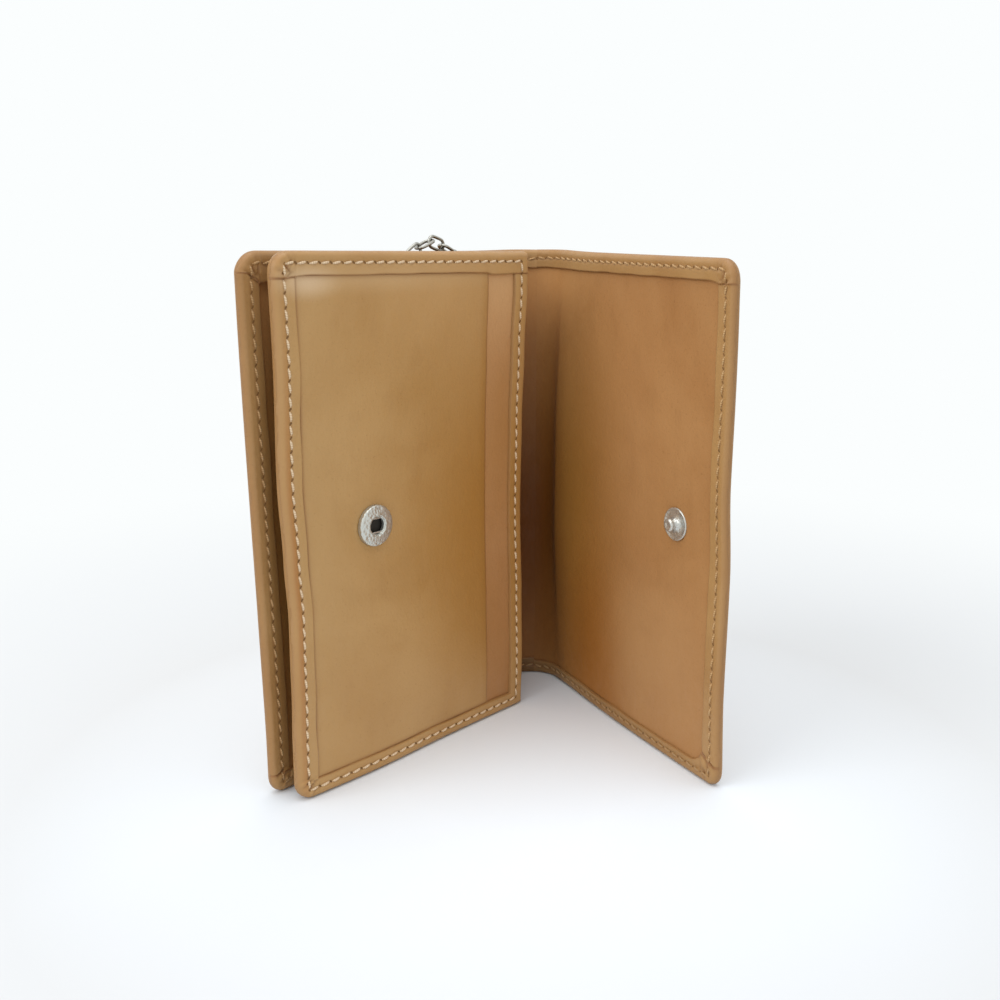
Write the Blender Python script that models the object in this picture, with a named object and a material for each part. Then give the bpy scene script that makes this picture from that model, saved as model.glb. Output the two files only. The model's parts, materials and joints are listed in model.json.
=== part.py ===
"""Leather key wallet, standing open: a turned-edge cover of back panel, rounded spine and snap flap,
a card leaf hung on a gusset, and a short chain with a split key ring in the key space between them.

Metres, +Z up. X runs along the card leaf from its free edge to its hinge edge, and Y runs from the
leaf towards the back panel. Every moving piece hangs from an empty that lies on its fold or pivot.
"""

import math

import bmesh
import bpy
from mathutils import Matrix, Vector

MM = 0.001

# Overall sizes
HEIGHT = 115.0 * MM
LEAF_WIDTH = 73.3 * MM
FLAP_LENGTH = 72.0 * MM
BACK_OVERHANG = 3.65 * MM
SPINE_RADIUS = 9.0 * MM
SPINE_SETOFF = 9.25 * MM
COVER_CORNER = 5.0 * MM
LEAF_CORNER = 4.0 * MM

# How far the wallet stands open
BACK_TILT = math.radians(5.24)
FLAP_OPENING = math.radians(67.9)
KEY_SPACE_AT_EDGE = 3.4 * MM
CLOSED_GAP = 0.75 * MM
FLAP_FOLD_OVERHANG = 1.75 * MM

# Leather and its turned hems
COVER_LEATHER = 0.85 * MM
LINING_LEATHER = 0.45 * MM
HEM_LEATHER = 0.70 * MM
GLUE_GAP = 0.25 * MM
COVER_HEM_SIDE = 5.4 * MM
COVER_HEM_ENDS = 4.2 * MM
LEAF_HEM_FREE = 5.1 * MM
LEAF_HEM_HINGE = 4.9 * MM
LEAF_HEM_ENDS = 4.5 * MM
EDGE_ROUND = 0.6 * MM
CARD_POCKET_MOUTH = 59.65 * MM

# Folds: the gap at a fold's axis, and how far each fold may turn
FOLD_GAP = 0.15 * MM
CLOSING_RELIEF = math.radians(34.0)
OPENING_RELIEF = math.radians(36.0)

# Gusset between the back panel and the leaf
GUSSET_LEATHER = 0.8 * MM
GUSSET_SETBACK = 0.9 * MM
GUSSET_FLANGE = 4.6 * MM
GUSSET_LEAF_FLANGE = 6.0 * MM
GUSSET_END_CLEARANCE = 0.5 * MM
GUSSET_FOLD_OFFSET = 0.65 * MM
GUSSET_FOLD_GAP = 0.35 * MM

# Press stud
SNAP_HEIGHT = 56.6 * MM
SOCKET_SETBACK = 22.85 * MM
SOCKET_RADIUS = 4.45 * MM
SOCKET_PROUD = 0.7 * MM
SOCKET_HOLE_RADIUS = 2.1 * MM
SOCKET_CAVITY_RADIUS = 3.75 * MM
SOCKET_LIP = 0.3 * MM
SPRING_WIRE = 0.5 * MM
SPRING_HALF_GAP = 1.6 * MM
SPRING_STRAIGHT = 4.4 * MM
RIVET_TUBE_RADIUS = 2.45 * MM
RIVET_BORE_RADIUS = 1.95 * MM
RIVET_FLARE_RADIUS = 3.3 * MM
RIVET_FLARE = 0.3 * MM
RIVET_CAP_RADIUS = 4.2 * MM
RIVET_CAP = 0.8 * MM
RIVET_HOLE_CLEARANCE = 0.3 * MM
STUD_FLANGE_RADIUS = 3.6 * MM
STUD_FLANGE = 0.5 * MM
STUD_NECK_RADIUS = 1.0 * MM
STUD_HEAD_RADIUS = 1.5 * MM
STUD_HEAD = 1.1 * MM
STUD_SHANK_RADIUS = 1.3 * MM
STUD_CAP_RADIUS = 4.6 * MM
STUD_TUBE_RADIUS = 2.1 * MM
METAL_CLEARANCE = 0.3 * MM

# Chain, its anchor tab and the key ring
CHAIN_STANDOFF = 3.6 * MM
LINK_WIRE = 0.8 * MM
LINK_LENGTH = 6.0 * MM
LINK_WIDTH = 3.4 * MM
LINK_PLAY = 0.15 * MM
RISING_LINKS = (98, 99, 104, 126, 156, 165)
FALLING_LINKS = (200, 210, 236, 260, 268)
TAB_WIDTH = 6.0 * MM
TAB_PLY = 0.9 * MM
TAB_LENGTH = 15.0 * MM
TAB_HEADING = 95.0
TAB_LOOP_SETBACK = 10.0 * MM
TAB_LOOP_DROP = 25.7 * MM
END_RING_RADIUS = 5.0 * MM
END_RING_WIRE = 1.2 * MM
KEY_RING_RADIUS = 11.3 * MM
KEY_RING_WIRE = 1.4 * MM
KEY_RING_TURN_GAP = 0.45 * MM

# Sizes that follow from those above
COVER_CAVITY = LINING_LEATHER + 2 * GLUE_GAP
COVER_THICKNESS = COVER_LEATHER + COVER_CAVITY + HEM_LEATHER
COVER_INNER = COVER_THICKNESS / 2
COVER_LINING_FACE = COVER_INNER - HEM_LEATHER - GLUE_GAP
LEAF_CAVITY = 2 * LINING_LEATHER + 3 * GLUE_GAP
LEAF_THICKNESS = HEM_LEATHER + LEAF_CAVITY + COVER_LEATHER
CARD_POCKET_FACE = HEM_LEATHER + GLUE_GAP
POCKET_BACK_FACE = CARD_POCKET_FACE + LINING_LEATHER + GLUE_GAP
SPINE_START = LEAF_WIDTH + SPINE_SETOFF
GUSSET_LINE = LEAF_WIDTH - GUSSET_SETBACK
TAB_LOOP_ALONG = GUSSET_LINE - TAB_LOOP_SETBACK
TAB_LOOP_HEIGHT = HEIGHT - TAB_LOOP_DROP
TURN_SEGMENTS = 24
CORNER_SEGMENTS = 5
SPINE_STEPS = 14
FOLD_OVERRUN = 2.0 * MM
FOLD_REACH = 5.5 * MM

TAN = (0.42, 0.235, 0.105)
TAN_LIGHT = (0.47, 0.275, 0.125)
TAN_DARK = (0.36, 0.185, 0.08)
NICKEL = (0.72, 0.70, 0.66)


def clear_scene():
    for existing in list(bpy.data.objects):
        bpy.data.objects.remove(existing, do_unlink=True)


def leather(name, colour):
    return surface(name, colour, 0.55, 0.0)


def metal(name):
    return surface(name, NICKEL, 0.28, 1.0)


def surface(name, colour, roughness, metallic):
    material = bpy.data.materials.new(name)
    material.use_nodes = True
    shader = material.node_tree.nodes["Principled BSDF"]
    shader.inputs["Base Color"].default_value = (*colour, 1.0)
    shader.inputs["Roughness"].default_value = roughness
    shader.inputs["Metallic"].default_value = metallic
    return material


def empty(name, parent, place):
    """An empty at a world place; its axes are given by the matrix."""
    axis = bpy.data.objects.new(name, None)
    bpy.context.collection.objects.link(axis)
    axis.parent = parent
    inverse = parent_matrix(parent).inverted() if parent else Matrix()
    axis.matrix_basis = inverse @ place
    return axis


def parent_matrix(parent):
    """World matrix of an empty, worked out along its chain of parents."""
    matrix = Matrix()
    while parent:
        matrix = parent.matrix_basis @ matrix
        parent = parent.parent
    return matrix


def upright_place(x, y, z=0.0, turn=0.0):
    return Matrix.Translation((x, y, z)) @ Matrix.Rotation(turn, 4, "Z")


def add_object(name, data, material, parent, place=None):
    """Link an object under its empty, at a place given in the empty's own frame."""
    obj = bpy.data.objects.new(name, data)
    bpy.context.collection.objects.link(obj)
    data.materials.append(material)
    obj.parent = parent
    obj.matrix_basis = place if place else Matrix()
    return obj


def mesh_from(bm, name, smooth_angle=None):
    bmesh.ops.remove_doubles(bm, verts=bm.verts, dist=1e-7)
    bmesh.ops.recalc_face_normals(bm, faces=bm.faces)
    mesh = bpy.data.meshes.new(name)
    bm.to_mesh(mesh)
    bm.free()
    if smooth_angle:
        mesh.shade_smooth()
        mesh.set_sharp_from_angle(angle=math.radians(smooth_angle))
    return mesh


def cut(obj, name, bm, parent):
    """Take a cutter's shape, given in the object's own frame, out of the object."""
    cutter = bpy.data.objects.new(name, mesh_from(bm, name))
    bpy.context.collection.objects.link(cutter)
    cutter.parent = parent
    cutter.matrix_basis = obj.matrix_basis
    cutter.hide_render = True
    cutter.display_type = "WIRE"
    modifier = obj.modifiers.new(name, "BOOLEAN")
    modifier.operation = "DIFFERENCE"
    modifier.solver = "EXACT"
    modifier.object = cutter


def extrude_outline(outline, low, high):
    """Prism of an X-Z outline, from y = low to y = high."""
    bm = bmesh.new()
    rim = [bm.verts.new((x, low, z)) for x, z in outline]
    face = bm.faces.new(rim)
    grown = bmesh.ops.extrude_face_region(bm, geom=[face])
    raised = [v for v in grown["geom"] if isinstance(v, bmesh.types.BMVert)]
    bmesh.ops.translate(bm, verts=raised, vec=(0, high - low, 0))
    bmesh.ops.recalc_face_normals(bm, faces=bm.faces)
    return bm


def panel_outline(start, end, bottom, top, radius):
    """X-Z rectangle whose two corners at x = end are rounded."""
    outline = [(start, top), (start, bottom)]
    reach = 1.0 if end > start else -1.0
    if radius <= 0:
        return outline + [(end, bottom), (end, top)]
    for step in range(CORNER_SEGMENTS + 1):
        turn = math.pi / 2 * step / CORNER_SEGMENTS
        x = end - reach * radius * (1 - math.sin(turn))
        outline.append((x, bottom + radius * (1 - math.cos(turn))))
    for step in range(CORNER_SEGMENTS + 1):
        turn = math.pi / 2 * step / CORNER_SEGMENTS
        x = end - reach * radius * (1 - math.cos(turn))
        outline.append((x, top - radius * (1 - math.sin(turn))))
    return outline


def round_rims(bm, low, high, skip):
    """Round the rims of a panel's two faces, but not along edges that skip() names."""
    rims = []
    for edge in bm.edges:
        ys = [v.co.y for v in edge.verts]
        flat = abs(ys[0] - ys[1]) < 1e-9
        at_face = min(abs(ys[0] - low), abs(ys[0] - high)) < 1e-9
        if flat and at_face and not skip(edge):
            rims.append(edge)
    bmesh.ops.bevel(
        bm, geom=rims, offset=EDGE_ROUND, offset_type="OFFSET", segments=2,
        profile=0.5, affect="EDGES", material=-1, clamp_overlap=True,
    )


def trim_at_fold(bm, gap, relief_inner, relief_outer, inner_side):
    """Cut a fold end to a blunt edge on the fold's axis, which lies at x = 0, y = 0."""
    for side, relief in ((inner_side, relief_inner), (-inner_side, relief_outer)):
        normal = Vector((math.cos(relief), -side * math.sin(relief), 0.0))
        slice_off(bm, Vector((gap, 0.0, 0.0)), normal)


def slice_off(bm, point, normal, reach=HEIGHT):
    """Within reach of a point, remove what lies behind a plane and close the cut."""
    bmesh.ops.triangulate(bm, faces=[f for f in bm.faces if len(f.verts) > 4])
    near = set(v for v in bm.verts if (v.co.xy - point.xy).length < reach)
    faces = [f for f in bm.faces if near.issuperset(f.verts)]
    edges = set(e for f in faces for e in f.edges)
    geometry = list(set(v for f in faces for v in f.verts)) + list(edges) + faces
    bmesh.ops.bisect_plane(
        bm, geom=geometry, dist=1e-6, plane_co=point, plane_no=normal, clear_inner=True,
    )
    bmesh.ops.remove_doubles(bm, verts=bm.verts, dist=1e-7)
    open_edges = [e for e in bm.edges if e.is_boundary]
    bmesh.ops.holes_fill(bm, edges=open_edges, sides=0)


def disc_outline(radius, steps, centre=(0.0, 0.0)):
    turns = [2 * math.pi * step / steps for step in range(steps)]
    return [(centre[0] + radius * math.cos(t), centre[1] + radius * math.sin(t)) for t in turns]


def turned(profile, steps=TURN_SEGMENTS):
    """Solid of revolution about the Y axis, from a closed profile of (radius, y) points."""
    bm = bmesh.new()
    points = [bm.verts.new((radius, y, 0.0)) for radius, y in profile]
    edges = [bm.edges.new((a, b)) for a, b in zip(points, points[1:])]
    if min(radius for radius, _ in profile) > 0:
        edges.append(bm.edges.new((points[-1], points[0])))
    bmesh.ops.spin(
        bm, geom=points + edges, cent=(0, 0, 0), axis=(0, 1, 0), dvec=(0, 0, 0),
        angle=2 * math.pi, steps=steps, use_merge=True, use_duplicate=False,
    )
    return bm


def wire_curve(name, points, wire, cyclic, resolution=2):
    """Round wire along a line of points, as a bevelled curve with filled ends."""
    curve = bpy.data.curves.new(name, "CURVE")
    curve.dimensions = "3D"
    curve.resolution_u = 1
    curve.bevel_depth = wire / 2
    curve.bevel_resolution = resolution
    curve.use_fill_caps = not cyclic
    spline = curve.splines.new("POLY")
    spline.points.add(len(points) - 1)
    for slot, point in zip(spline.points, points):
        slot.co = (*point, 1.0)
    spline.use_cyclic_u = cyclic
    spline.use_smooth = True
    return curve


# Plan of the wallet: where each panel lies at rest, worked out from the sizes above

def direction(angle):
    return Vector((math.cos(angle), math.sin(angle)))


LEAF_REAR = LEAF_THICKNESS
BACK_ALONG = direction(BACK_TILT)
BACK_INWARD = Vector((BACK_ALONG.y, -BACK_ALONG.x))
BACK_EDGE = Vector((-BACK_OVERHANG, LEAF_REAR + KEY_SPACE_AT_EDGE)) - BACK_INWARD * COVER_INNER
SPINE_ARC_START = BACK_EDGE + BACK_ALONG * ((SPINE_START + BACK_OVERHANG) / BACK_ALONG.x)
SPINE_CENTRE = SPINE_ARC_START + BACK_INWARD * SPINE_RADIUS
FLAP_DIRECTION = direction(math.pi + FLAP_OPENING)
FLAP_OUTWARD = Vector((-FLAP_DIRECTION.y, FLAP_DIRECTION.x))
FLAP_FOLD = SPINE_CENTRE + FLAP_OUTWARD * SPINE_RADIUS
SPINE_TURN = math.pi + BACK_TILT - FLAP_OPENING
STUD_ALONG = LEAF_WIDTH + FLAP_FOLD_OVERHANG - SOCKET_SETBACK
CLOSED_FLAP_FOLD = Vector((SOCKET_SETBACK + STUD_ALONG, -CLOSED_GAP - COVER_INNER))


def spine_fold_place():
    """The fold line on the back panel about which the stud's fold swings onto its closed place."""
    middle = (FLAP_FOLD + CLOSED_FLAP_FOLD) / 2
    chord = CLOSED_FLAP_FOLD - FLAP_FOLD
    across = Vector((chord.y, -chord.x)).normalized()
    offset = BACK_EDGE - middle
    facing = across.x * BACK_ALONG.y - across.y * BACK_ALONG.x
    distance = (offset.x * BACK_ALONG.y - offset.y * BACK_ALONG.x) / facing
    return middle + across * distance


SPINE_FOLD = spine_fold_place()
SPINE_STRAIGHT = (SPINE_ARC_START - SPINE_FOLD).length
BACK_LENGTH = (SPINE_FOLD - BACK_EDGE).length


def spine_closing_angle():
    rest = FLAP_FOLD - SPINE_FOLD
    closed = CLOSED_FLAP_FOLD - SPINE_FOLD
    return math.atan2(rest.x * closed.y - rest.y * closed.x, rest.dot(closed))


def lining_face_at(x):
    """World y of the back lining's visible face at a world x."""
    run = (x - BACK_EDGE.x) / BACK_ALONG.x
    on_mid = BACK_EDGE + BACK_ALONG * run
    return (on_mid + BACK_INWARD * COVER_LINING_FACE).y


GUSSET_BACK_FOLD = Vector((GUSSET_LINE, lining_face_at(GUSSET_LINE) - GUSSET_FOLD_OFFSET))
GUSSET_LEAF_FOLD = Vector((GUSSET_LINE, LEAF_REAR + GUSSET_FOLD_OFFSET))
GUSSET_BOTTOM = COVER_HEM_ENDS + GUSSET_END_CLEARANCE
GUSSET_TOP = HEIGHT - GUSSET_BOTTOM


# Cover panels with turned hems: each is one sheet folded over its lining's edge

def cover_panel(name, length, inner_side, parent, place, colour):
    """Panel from its fold at x = 0 to its free edge, with a window that shows the lining."""
    half = COVER_THICKNESS / 2
    outline = panel_outline(-FOLD_OVERRUN, length, 0.0, HEIGHT, COVER_CORNER)
    bm = extrude_outline(outline, -half, half)
    round_rims(bm, -half, half, lambda e: max(v.co.x for v in e.verts) < 0)
    trim_at_fold(bm, FOLD_GAP, CLOSING_RELIEF, OPENING_RELIEF, inner_side)
    panel = add_object(name, mesh_from(bm, name, 40), leather(name + "_leather", colour), parent, place)
    cavity_low, cavity_high = sorted(
        (inner_side * (COVER_LEATHER - half), inner_side * (half - HEM_LEATHER))
    )
    cavity = panel_outline(
        -2 * FOLD_OVERRUN, length - COVER_LEATHER, COVER_LEATHER, HEIGHT - COVER_LEATHER,
        COVER_CORNER - COVER_LEATHER,
    )
    cut(panel, name + "_cavity", extrude_outline(cavity, cavity_low, cavity_high), parent)
    window_low, window_high = sorted((0.0, inner_side * 2 * half))
    window = panel_outline(
        -2 * FOLD_OVERRUN, length - COVER_HEM_SIDE, COVER_HEM_ENDS, HEIGHT - COVER_HEM_ENDS, 0.0,
    )
    cut(panel, name + "_window", extrude_outline(window, window_low, window_high), parent)
    return panel


def cover_lining(name, length, inner_side, parent, place, colour):
    """Thin lining that lies in the cover panel's cavity, under its hems."""
    edge = COVER_LEATHER + GLUE_GAP
    low, high = sorted(
        (inner_side * (COVER_LINING_FACE - LINING_LEATHER), inner_side * COVER_LINING_FACE)
    )
    outline = panel_outline(
        -FOLD_OVERRUN, length - edge, edge, HEIGHT - edge, COVER_CORNER - edge,
    )
    bm = extrude_outline(outline, low, high)
    trim_at_fold(bm, FOLD_GAP, CLOSING_RELIEF, OPENING_RELIEF, inner_side)
    return add_object(name, mesh_from(bm, name), leather(name + "_leather", colour), parent, place)


def spine_section():
    """Section of the turned cover: (across, height) points, hems on the positive side."""
    half = COVER_THICKNESS / 2
    r = EDGE_ROUND
    k = r * (1 - math.cos(math.pi / 4))
    lip = half - HEM_LEATHER
    wall = COVER_LEATHER - half
    return [
        (-half, r), (k - half, k), (r - half, 0.0), (half - r, 0.0), (half - k, k), (half, r),
        (half, COVER_HEM_ENDS), (lip, COVER_HEM_ENDS), (lip, COVER_LEATHER), (wall, COVER_LEATHER),
        (wall, HEIGHT - COVER_LEATHER), (lip, HEIGHT - COVER_LEATHER),
        (lip, HEIGHT - COVER_HEM_ENDS), (half, HEIGHT - COVER_HEM_ENDS), (half, HEIGHT - r),
        (half - k, HEIGHT - k), (half - r, HEIGHT), (r - half, HEIGHT), (k - half, HEIGHT - k),
        (-half, HEIGHT - r),
    ]


def swept_spine(name, section, parent, place, colour):
    """Sweep a section along the spine: straight from its fold, then round the bend, then a
    short run on, each end trimmed at its fold. The frame's x runs away from the back panel."""
    bm = bmesh.new()
    ring = [bm.verts.new((-FOLD_OVERRUN, -across, height)) for across, height in section]
    region = [bm.faces.new(ring)]
    bend = Vector((SPINE_STRAIGHT, -SPINE_RADIUS, 0.0))
    region = run_on(bm, region, Vector((SPINE_STRAIGHT + FOLD_OVERRUN, 0.0, 0.0)))
    spun = bmesh.ops.spin(
        bm, geom=region, cent=bend, axis=(0, 0, 1), dvec=(0, 0, 0), angle=-SPINE_TURN,
        steps=SPINE_STEPS, use_merge=False, use_duplicate=False,
    )
    region = [f for f in spun["geom_last"] if isinstance(f, bmesh.types.BMFace)]
    onward = Matrix.Rotation(-SPINE_TURN, 3, "Z") @ Vector((1.0, 0.0, 0.0))
    run_on(bm, region, onward * FOLD_OVERRUN)
    swept_over = [f for f in bm.faces if all(len(e.link_faces) > 2 for e in f.edges)]
    bmesh.ops.delete(bm, geom=swept_over, context="FACES_ONLY")
    bmesh.ops.recalc_face_normals(bm, faces=bm.faces)
    for side, relief in ((-1.0, CLOSING_RELIEF), (1.0, OPENING_RELIEF)):
        normal = Vector((math.cos(relief), -side * math.sin(relief), 0.0))
        slice_off(bm, Vector((FOLD_GAP, 0.0, 0.0)), normal, FOLD_REACH)
    far_fold = bend + Matrix.Rotation(-SPINE_TURN, 3, "Z") @ Vector((0.0, SPINE_RADIUS, 0.0))
    for side, relief in ((-1.0, CLOSING_RELIEF), (1.0, OPENING_RELIEF)):
        normal = Vector((-math.cos(relief), -side * math.sin(relief), 0.0))
        normal = Matrix.Rotation(-SPINE_TURN, 3, "Z") @ normal
        slice_off(bm, far_fold - onward * FOLD_GAP, normal, FOLD_REACH)
    return add_object(name, mesh_from(bm, name, 40), leather(name + "_leather", colour), parent, place)


def run_on(bm, region, step):
    """Extrude an end face along a step and give back the new end face."""
    grown = bmesh.ops.extrude_face_region(bm, geom=region)
    moved = [v for v in grown["geom"] if isinstance(v, bmesh.types.BMVert)]
    bmesh.ops.translate(bm, verts=moved, vec=step)
    return [f for f in grown["geom"] if isinstance(f, bmesh.types.BMFace)]


def make_cover(root):
    """Back panel, spine and flap, each a turned cover with its lining."""
    back = upright_place(SPINE_FOLD.x, SPINE_FOLD.y, 0.0, math.pi + BACK_TILT)
    back_frame = empty("back_frame", root, back)
    cover_panel("back_cover", BACK_LENGTH, 1.0, back_frame, None, TAN)
    cover_lining("back_lining", BACK_LENGTH, 1.0, back_frame, None, TAN_DARK)

    spine_axis = empty("spine_axis", root, upright_place(SPINE_FOLD.x, SPINE_FOLD.y, 0.0, BACK_TILT))
    swept_spine("spine_cover", spine_section(), spine_axis, None, TAN)
    edge = COVER_LEATHER + GLUE_GAP
    low = COVER_LINING_FACE - LINING_LEATHER
    strip = [
        (low, edge), (COVER_LINING_FACE, edge),
        (COVER_LINING_FACE, HEIGHT - edge), (low, HEIGHT - edge),
    ]
    swept_spine("spine_lining", strip, spine_axis, None, TAN_DARK)

    flap = upright_place(FLAP_FOLD.x, FLAP_FOLD.y, 0.0, math.pi + FLAP_OPENING)
    flap_axis = empty("flap_axis", spine_axis, flap)
    flap_cover = cover_panel("flap_cover", FLAP_LENGTH, -1.0, flap_axis, None, TAN_LIGHT)
    flap_lining = cover_lining("flap_lining", FLAP_LENGTH, -1.0, flap_axis, None, TAN)
    for sheet in (flap_cover, flap_lining):
        snap_hole(sheet, STUD_ALONG, STUD_TUBE_RADIUS + RIVET_HOLE_CLEARANCE, flap_axis)
    return back_frame, flap_axis


def snap_hole(sheet, along, radius, parent):
    """Round hole through a leather piece for the tube of a snap's rivet."""
    reach = 4 * LEAF_THICKNESS
    outline = disc_outline(radius, TURN_SEGMENTS, (along, SNAP_HEIGHT))
    cut(sheet, sheet.name + "_hole", extrude_outline(outline, -reach, reach), parent)


# Card leaf: rear leather turned to the front all round, over a card pocket and its back

def make_leaf(leaf_axis):
    """The leaf's frame has its origin at the world's, so x and y are the plan's own."""
    place = parent_matrix(leaf_axis).inverted()
    bm = extrude_outline(
        panel_outline(LEAF_WIDTH, 0.0, 0.0, HEIGHT, LEAF_CORNER), 0.0, LEAF_THICKNESS
    )
    round_rims(bm, 0.0, LEAF_THICKNESS, lambda e: False)
    cover = add_object(
        "leaf_cover", mesh_from(bm, "leaf_cover", 40), leather("leaf_leather", TAN_LIGHT),
        leaf_axis, place,
    )
    cavity = panel_outline(
        LEAF_WIDTH - COVER_LEATHER, COVER_LEATHER, COVER_LEATHER, HEIGHT - COVER_LEATHER,
        LEAF_CORNER - COVER_LEATHER,
    )
    cut(cover, "leaf_cavity",
        extrude_outline(cavity, HEM_LEATHER, LEAF_THICKNESS - COVER_LEATHER), leaf_axis)
    window = panel_outline(
        LEAF_WIDTH - LEAF_HEM_HINGE, LEAF_HEM_FREE, LEAF_HEM_ENDS, HEIGHT - LEAF_HEM_ENDS, 0.0,
    )
    cut(cover, "leaf_window",
        extrude_outline(window, -LEAF_THICKNESS, CARD_POCKET_FACE), leaf_axis)
    edge = COVER_LEATHER + GLUE_GAP
    pocket = leaf_sheet(
        "card_pocket", CARD_POCKET_MOUTH, edge, CARD_POCKET_FACE, TAN_LIGHT, leaf_axis, place
    )
    pocket_back = leaf_sheet(
        "pocket_back", LEAF_WIDTH - edge, edge, POCKET_BACK_FACE, TAN, leaf_axis, place
    )
    for sheet in (cover, pocket, pocket_back):
        snap_hole(sheet, SOCKET_SETBACK, RIVET_TUBE_RADIUS + RIVET_HOLE_CLEARANCE, leaf_axis)


def leaf_sheet(name, hinge_end, edge, face, colour, parent, place):
    outline = panel_outline(hinge_end, edge, edge, HEIGHT - edge, LEAF_CORNER - edge)
    bm = extrude_outline(outline, face, face + LINING_LEATHER)
    return add_object(name, mesh_from(bm, name), leather(name + "_leather", colour), parent, place)


# Gusset: a strip of leather that folds at the back panel and at the leaf

def strip_between(name, start, end, thickness, colour, parent):
    """Upright strip along a plan line, with its ends rounded by their bevel."""
    along = end - start
    turn = math.atan2(along.y, along.x)
    bm = bmesh.new()
    bmesh.ops.create_cube(bm, size=1.0)
    bmesh.ops.scale(bm, verts=bm.verts, vec=(along.length, thickness, GUSSET_TOP - GUSSET_BOTTOM))
    bmesh.ops.translate(
        bm, verts=bm.verts, vec=(along.length / 2, 0.0, (GUSSET_TOP + GUSSET_BOTTOM) / 2)
    )
    upright = [e for e in bm.edges if abs(e.verts[0].co.z - e.verts[1].co.z) > thickness]
    bmesh.ops.bevel(
        bm, geom=upright, offset=thickness / 4, offset_type="OFFSET", segments=2, profile=0.5,
        affect="EDGES", material=-1,
    )
    place = parent_matrix(parent).inverted() @ upright_place(start.x, start.y, 0.0, turn)
    add_object(name, mesh_from(bm, name, 40), leather(name + "_leather", colour), parent, place)


def make_gusset(root, back_frame):
    gusset_axis = empty("gusset_axis", root, upright_place(*GUSSET_BACK_FOLD))
    leaf_axis = empty("leaf_axis", gusset_axis, upright_place(*GUSSET_LEAF_FOLD))
    inward = Vector((0.0, -1.0))
    strip_between(
        "gusset_wall", GUSSET_BACK_FOLD + inward * GUSSET_FOLD_GAP,
        GUSSET_LEAF_FOLD - inward * GUSSET_FOLD_GAP, GUSSET_LEATHER, TAN_DARK, gusset_axis,
    )
    root_gap = GUSSET_LEATHER / 2 + GUSSET_FOLD_GAP
    lift = BACK_INWARD * (GLUE_GAP + GUSSET_LEATHER / 2)
    flange_start = Vector((GUSSET_LINE - root_gap, lining_face_at(GUSSET_LINE - root_gap))) + lift
    strip_between(
        "gusset_back_flange", flange_start, flange_start - BACK_ALONG * GUSSET_FLANGE,
        GUSSET_LEATHER, TAN_DARK, back_frame,
    )
    leaf_start = Vector((GUSSET_LINE - root_gap, LEAF_REAR + GLUE_GAP + GUSSET_LEATHER / 2))
    strip_between(
        "gusset_leaf_flange", leaf_start, leaf_start - Vector((GUSSET_LEAF_FLANGE, 0.0)),
        GUSSET_LEATHER, TAN_DARK, leaf_axis,
    )
    return leaf_axis


# Press stud: socket, spring and rivet on the leaf, stud and rivet on the flap

def make_socket(leaf_axis):
    """Socket in front of the card pocket, wire spring inside it, tube rivet from behind."""
    place = parent_matrix(leaf_axis).inverted() @ Matrix.Translation(
        (SOCKET_SETBACK, 0.0, SNAP_HEIGHT)
    )
    seat = CARD_POCKET_FACE - GLUE_GAP
    front = -SOCKET_PROUD
    shoulder = (front + seat) / 2
    crown = (SOCKET_HOLE_RADIUS + SOCKET_RADIUS) / 2
    socket = [
        (SOCKET_HOLE_RADIUS, front + SOCKET_LIP), (SOCKET_HOLE_RADIUS, front + SOCKET_LIP / 2),
        (SOCKET_HOLE_RADIUS + SOCKET_LIP / 2, front), (crown, front),
        (SOCKET_RADIUS - SOCKET_LIP, front + SOCKET_LIP), (SOCKET_RADIUS, shoulder),
        (SOCKET_RADIUS, seat), (SOCKET_CAVITY_RADIUS, seat), (SOCKET_CAVITY_RADIUS, front + SOCKET_LIP),
    ]
    add_object("snap_socket", mesh_from(turned(socket), "snap_socket", 30), metal("socket_nickel"),
               leaf_axis, place)

    spring_y = front + SOCKET_LIP + SPRING_WIRE / 2 + GLUE_GAP / 5
    bend_x = SPRING_STRAIGHT / 2 - SPRING_WIRE
    points = [(-SPRING_STRAIGHT / 2 - SPRING_WIRE, spring_y, -SPRING_HALF_GAP)]
    for step in range(9):
        turn = math.pi * step / 8 - math.pi / 2
        points.append((
            bend_x + SPRING_HALF_GAP * math.cos(turn), spring_y, SPRING_HALF_GAP * math.sin(turn),
        ))
    points.append((-SPRING_STRAIGHT / 2 - SPRING_WIRE, spring_y, SPRING_HALF_GAP))
    add_object("socket_spring", wire_curve("socket_spring", points, SPRING_WIRE, False),
               metal("spring_steel"), leaf_axis, place)

    flare = spring_y + SPRING_WIRE / 2 + METAL_CLEARANCE / 3
    rear = LEAF_REAR + GLUE_GAP
    rivet = [
        (RIVET_BORE_RADIUS, flare), (RIVET_FLARE_RADIUS, flare),
        (RIVET_FLARE_RADIUS, flare + RIVET_FLARE), (RIVET_TUBE_RADIUS, flare + RIVET_FLARE),
        (RIVET_TUBE_RADIUS, rear), (RIVET_CAP_RADIUS, rear),
        (RIVET_CAP_RADIUS, rear + RIVET_CAP / 3), (RIVET_CAP_RADIUS * 0.8, rear + RIVET_CAP * 0.8),
        (0.0, rear + RIVET_CAP), (0.0, rear), (RIVET_BORE_RADIUS, rear),
    ]
    add_object("socket_rivet", mesh_from(closed_turn(rivet), "socket_rivet", 30),
               metal("rivet_nickel"), leaf_axis, place)


def closed_turn(profile):
    """Turned solid whose profile meets the axis, with its two axis points already in it."""
    start = next(i for i, (radius, _) in enumerate(profile) if radius == 0.0)
    ordered = profile[start + 1:] + profile[:start + 1]
    return turned(ordered)


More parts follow.
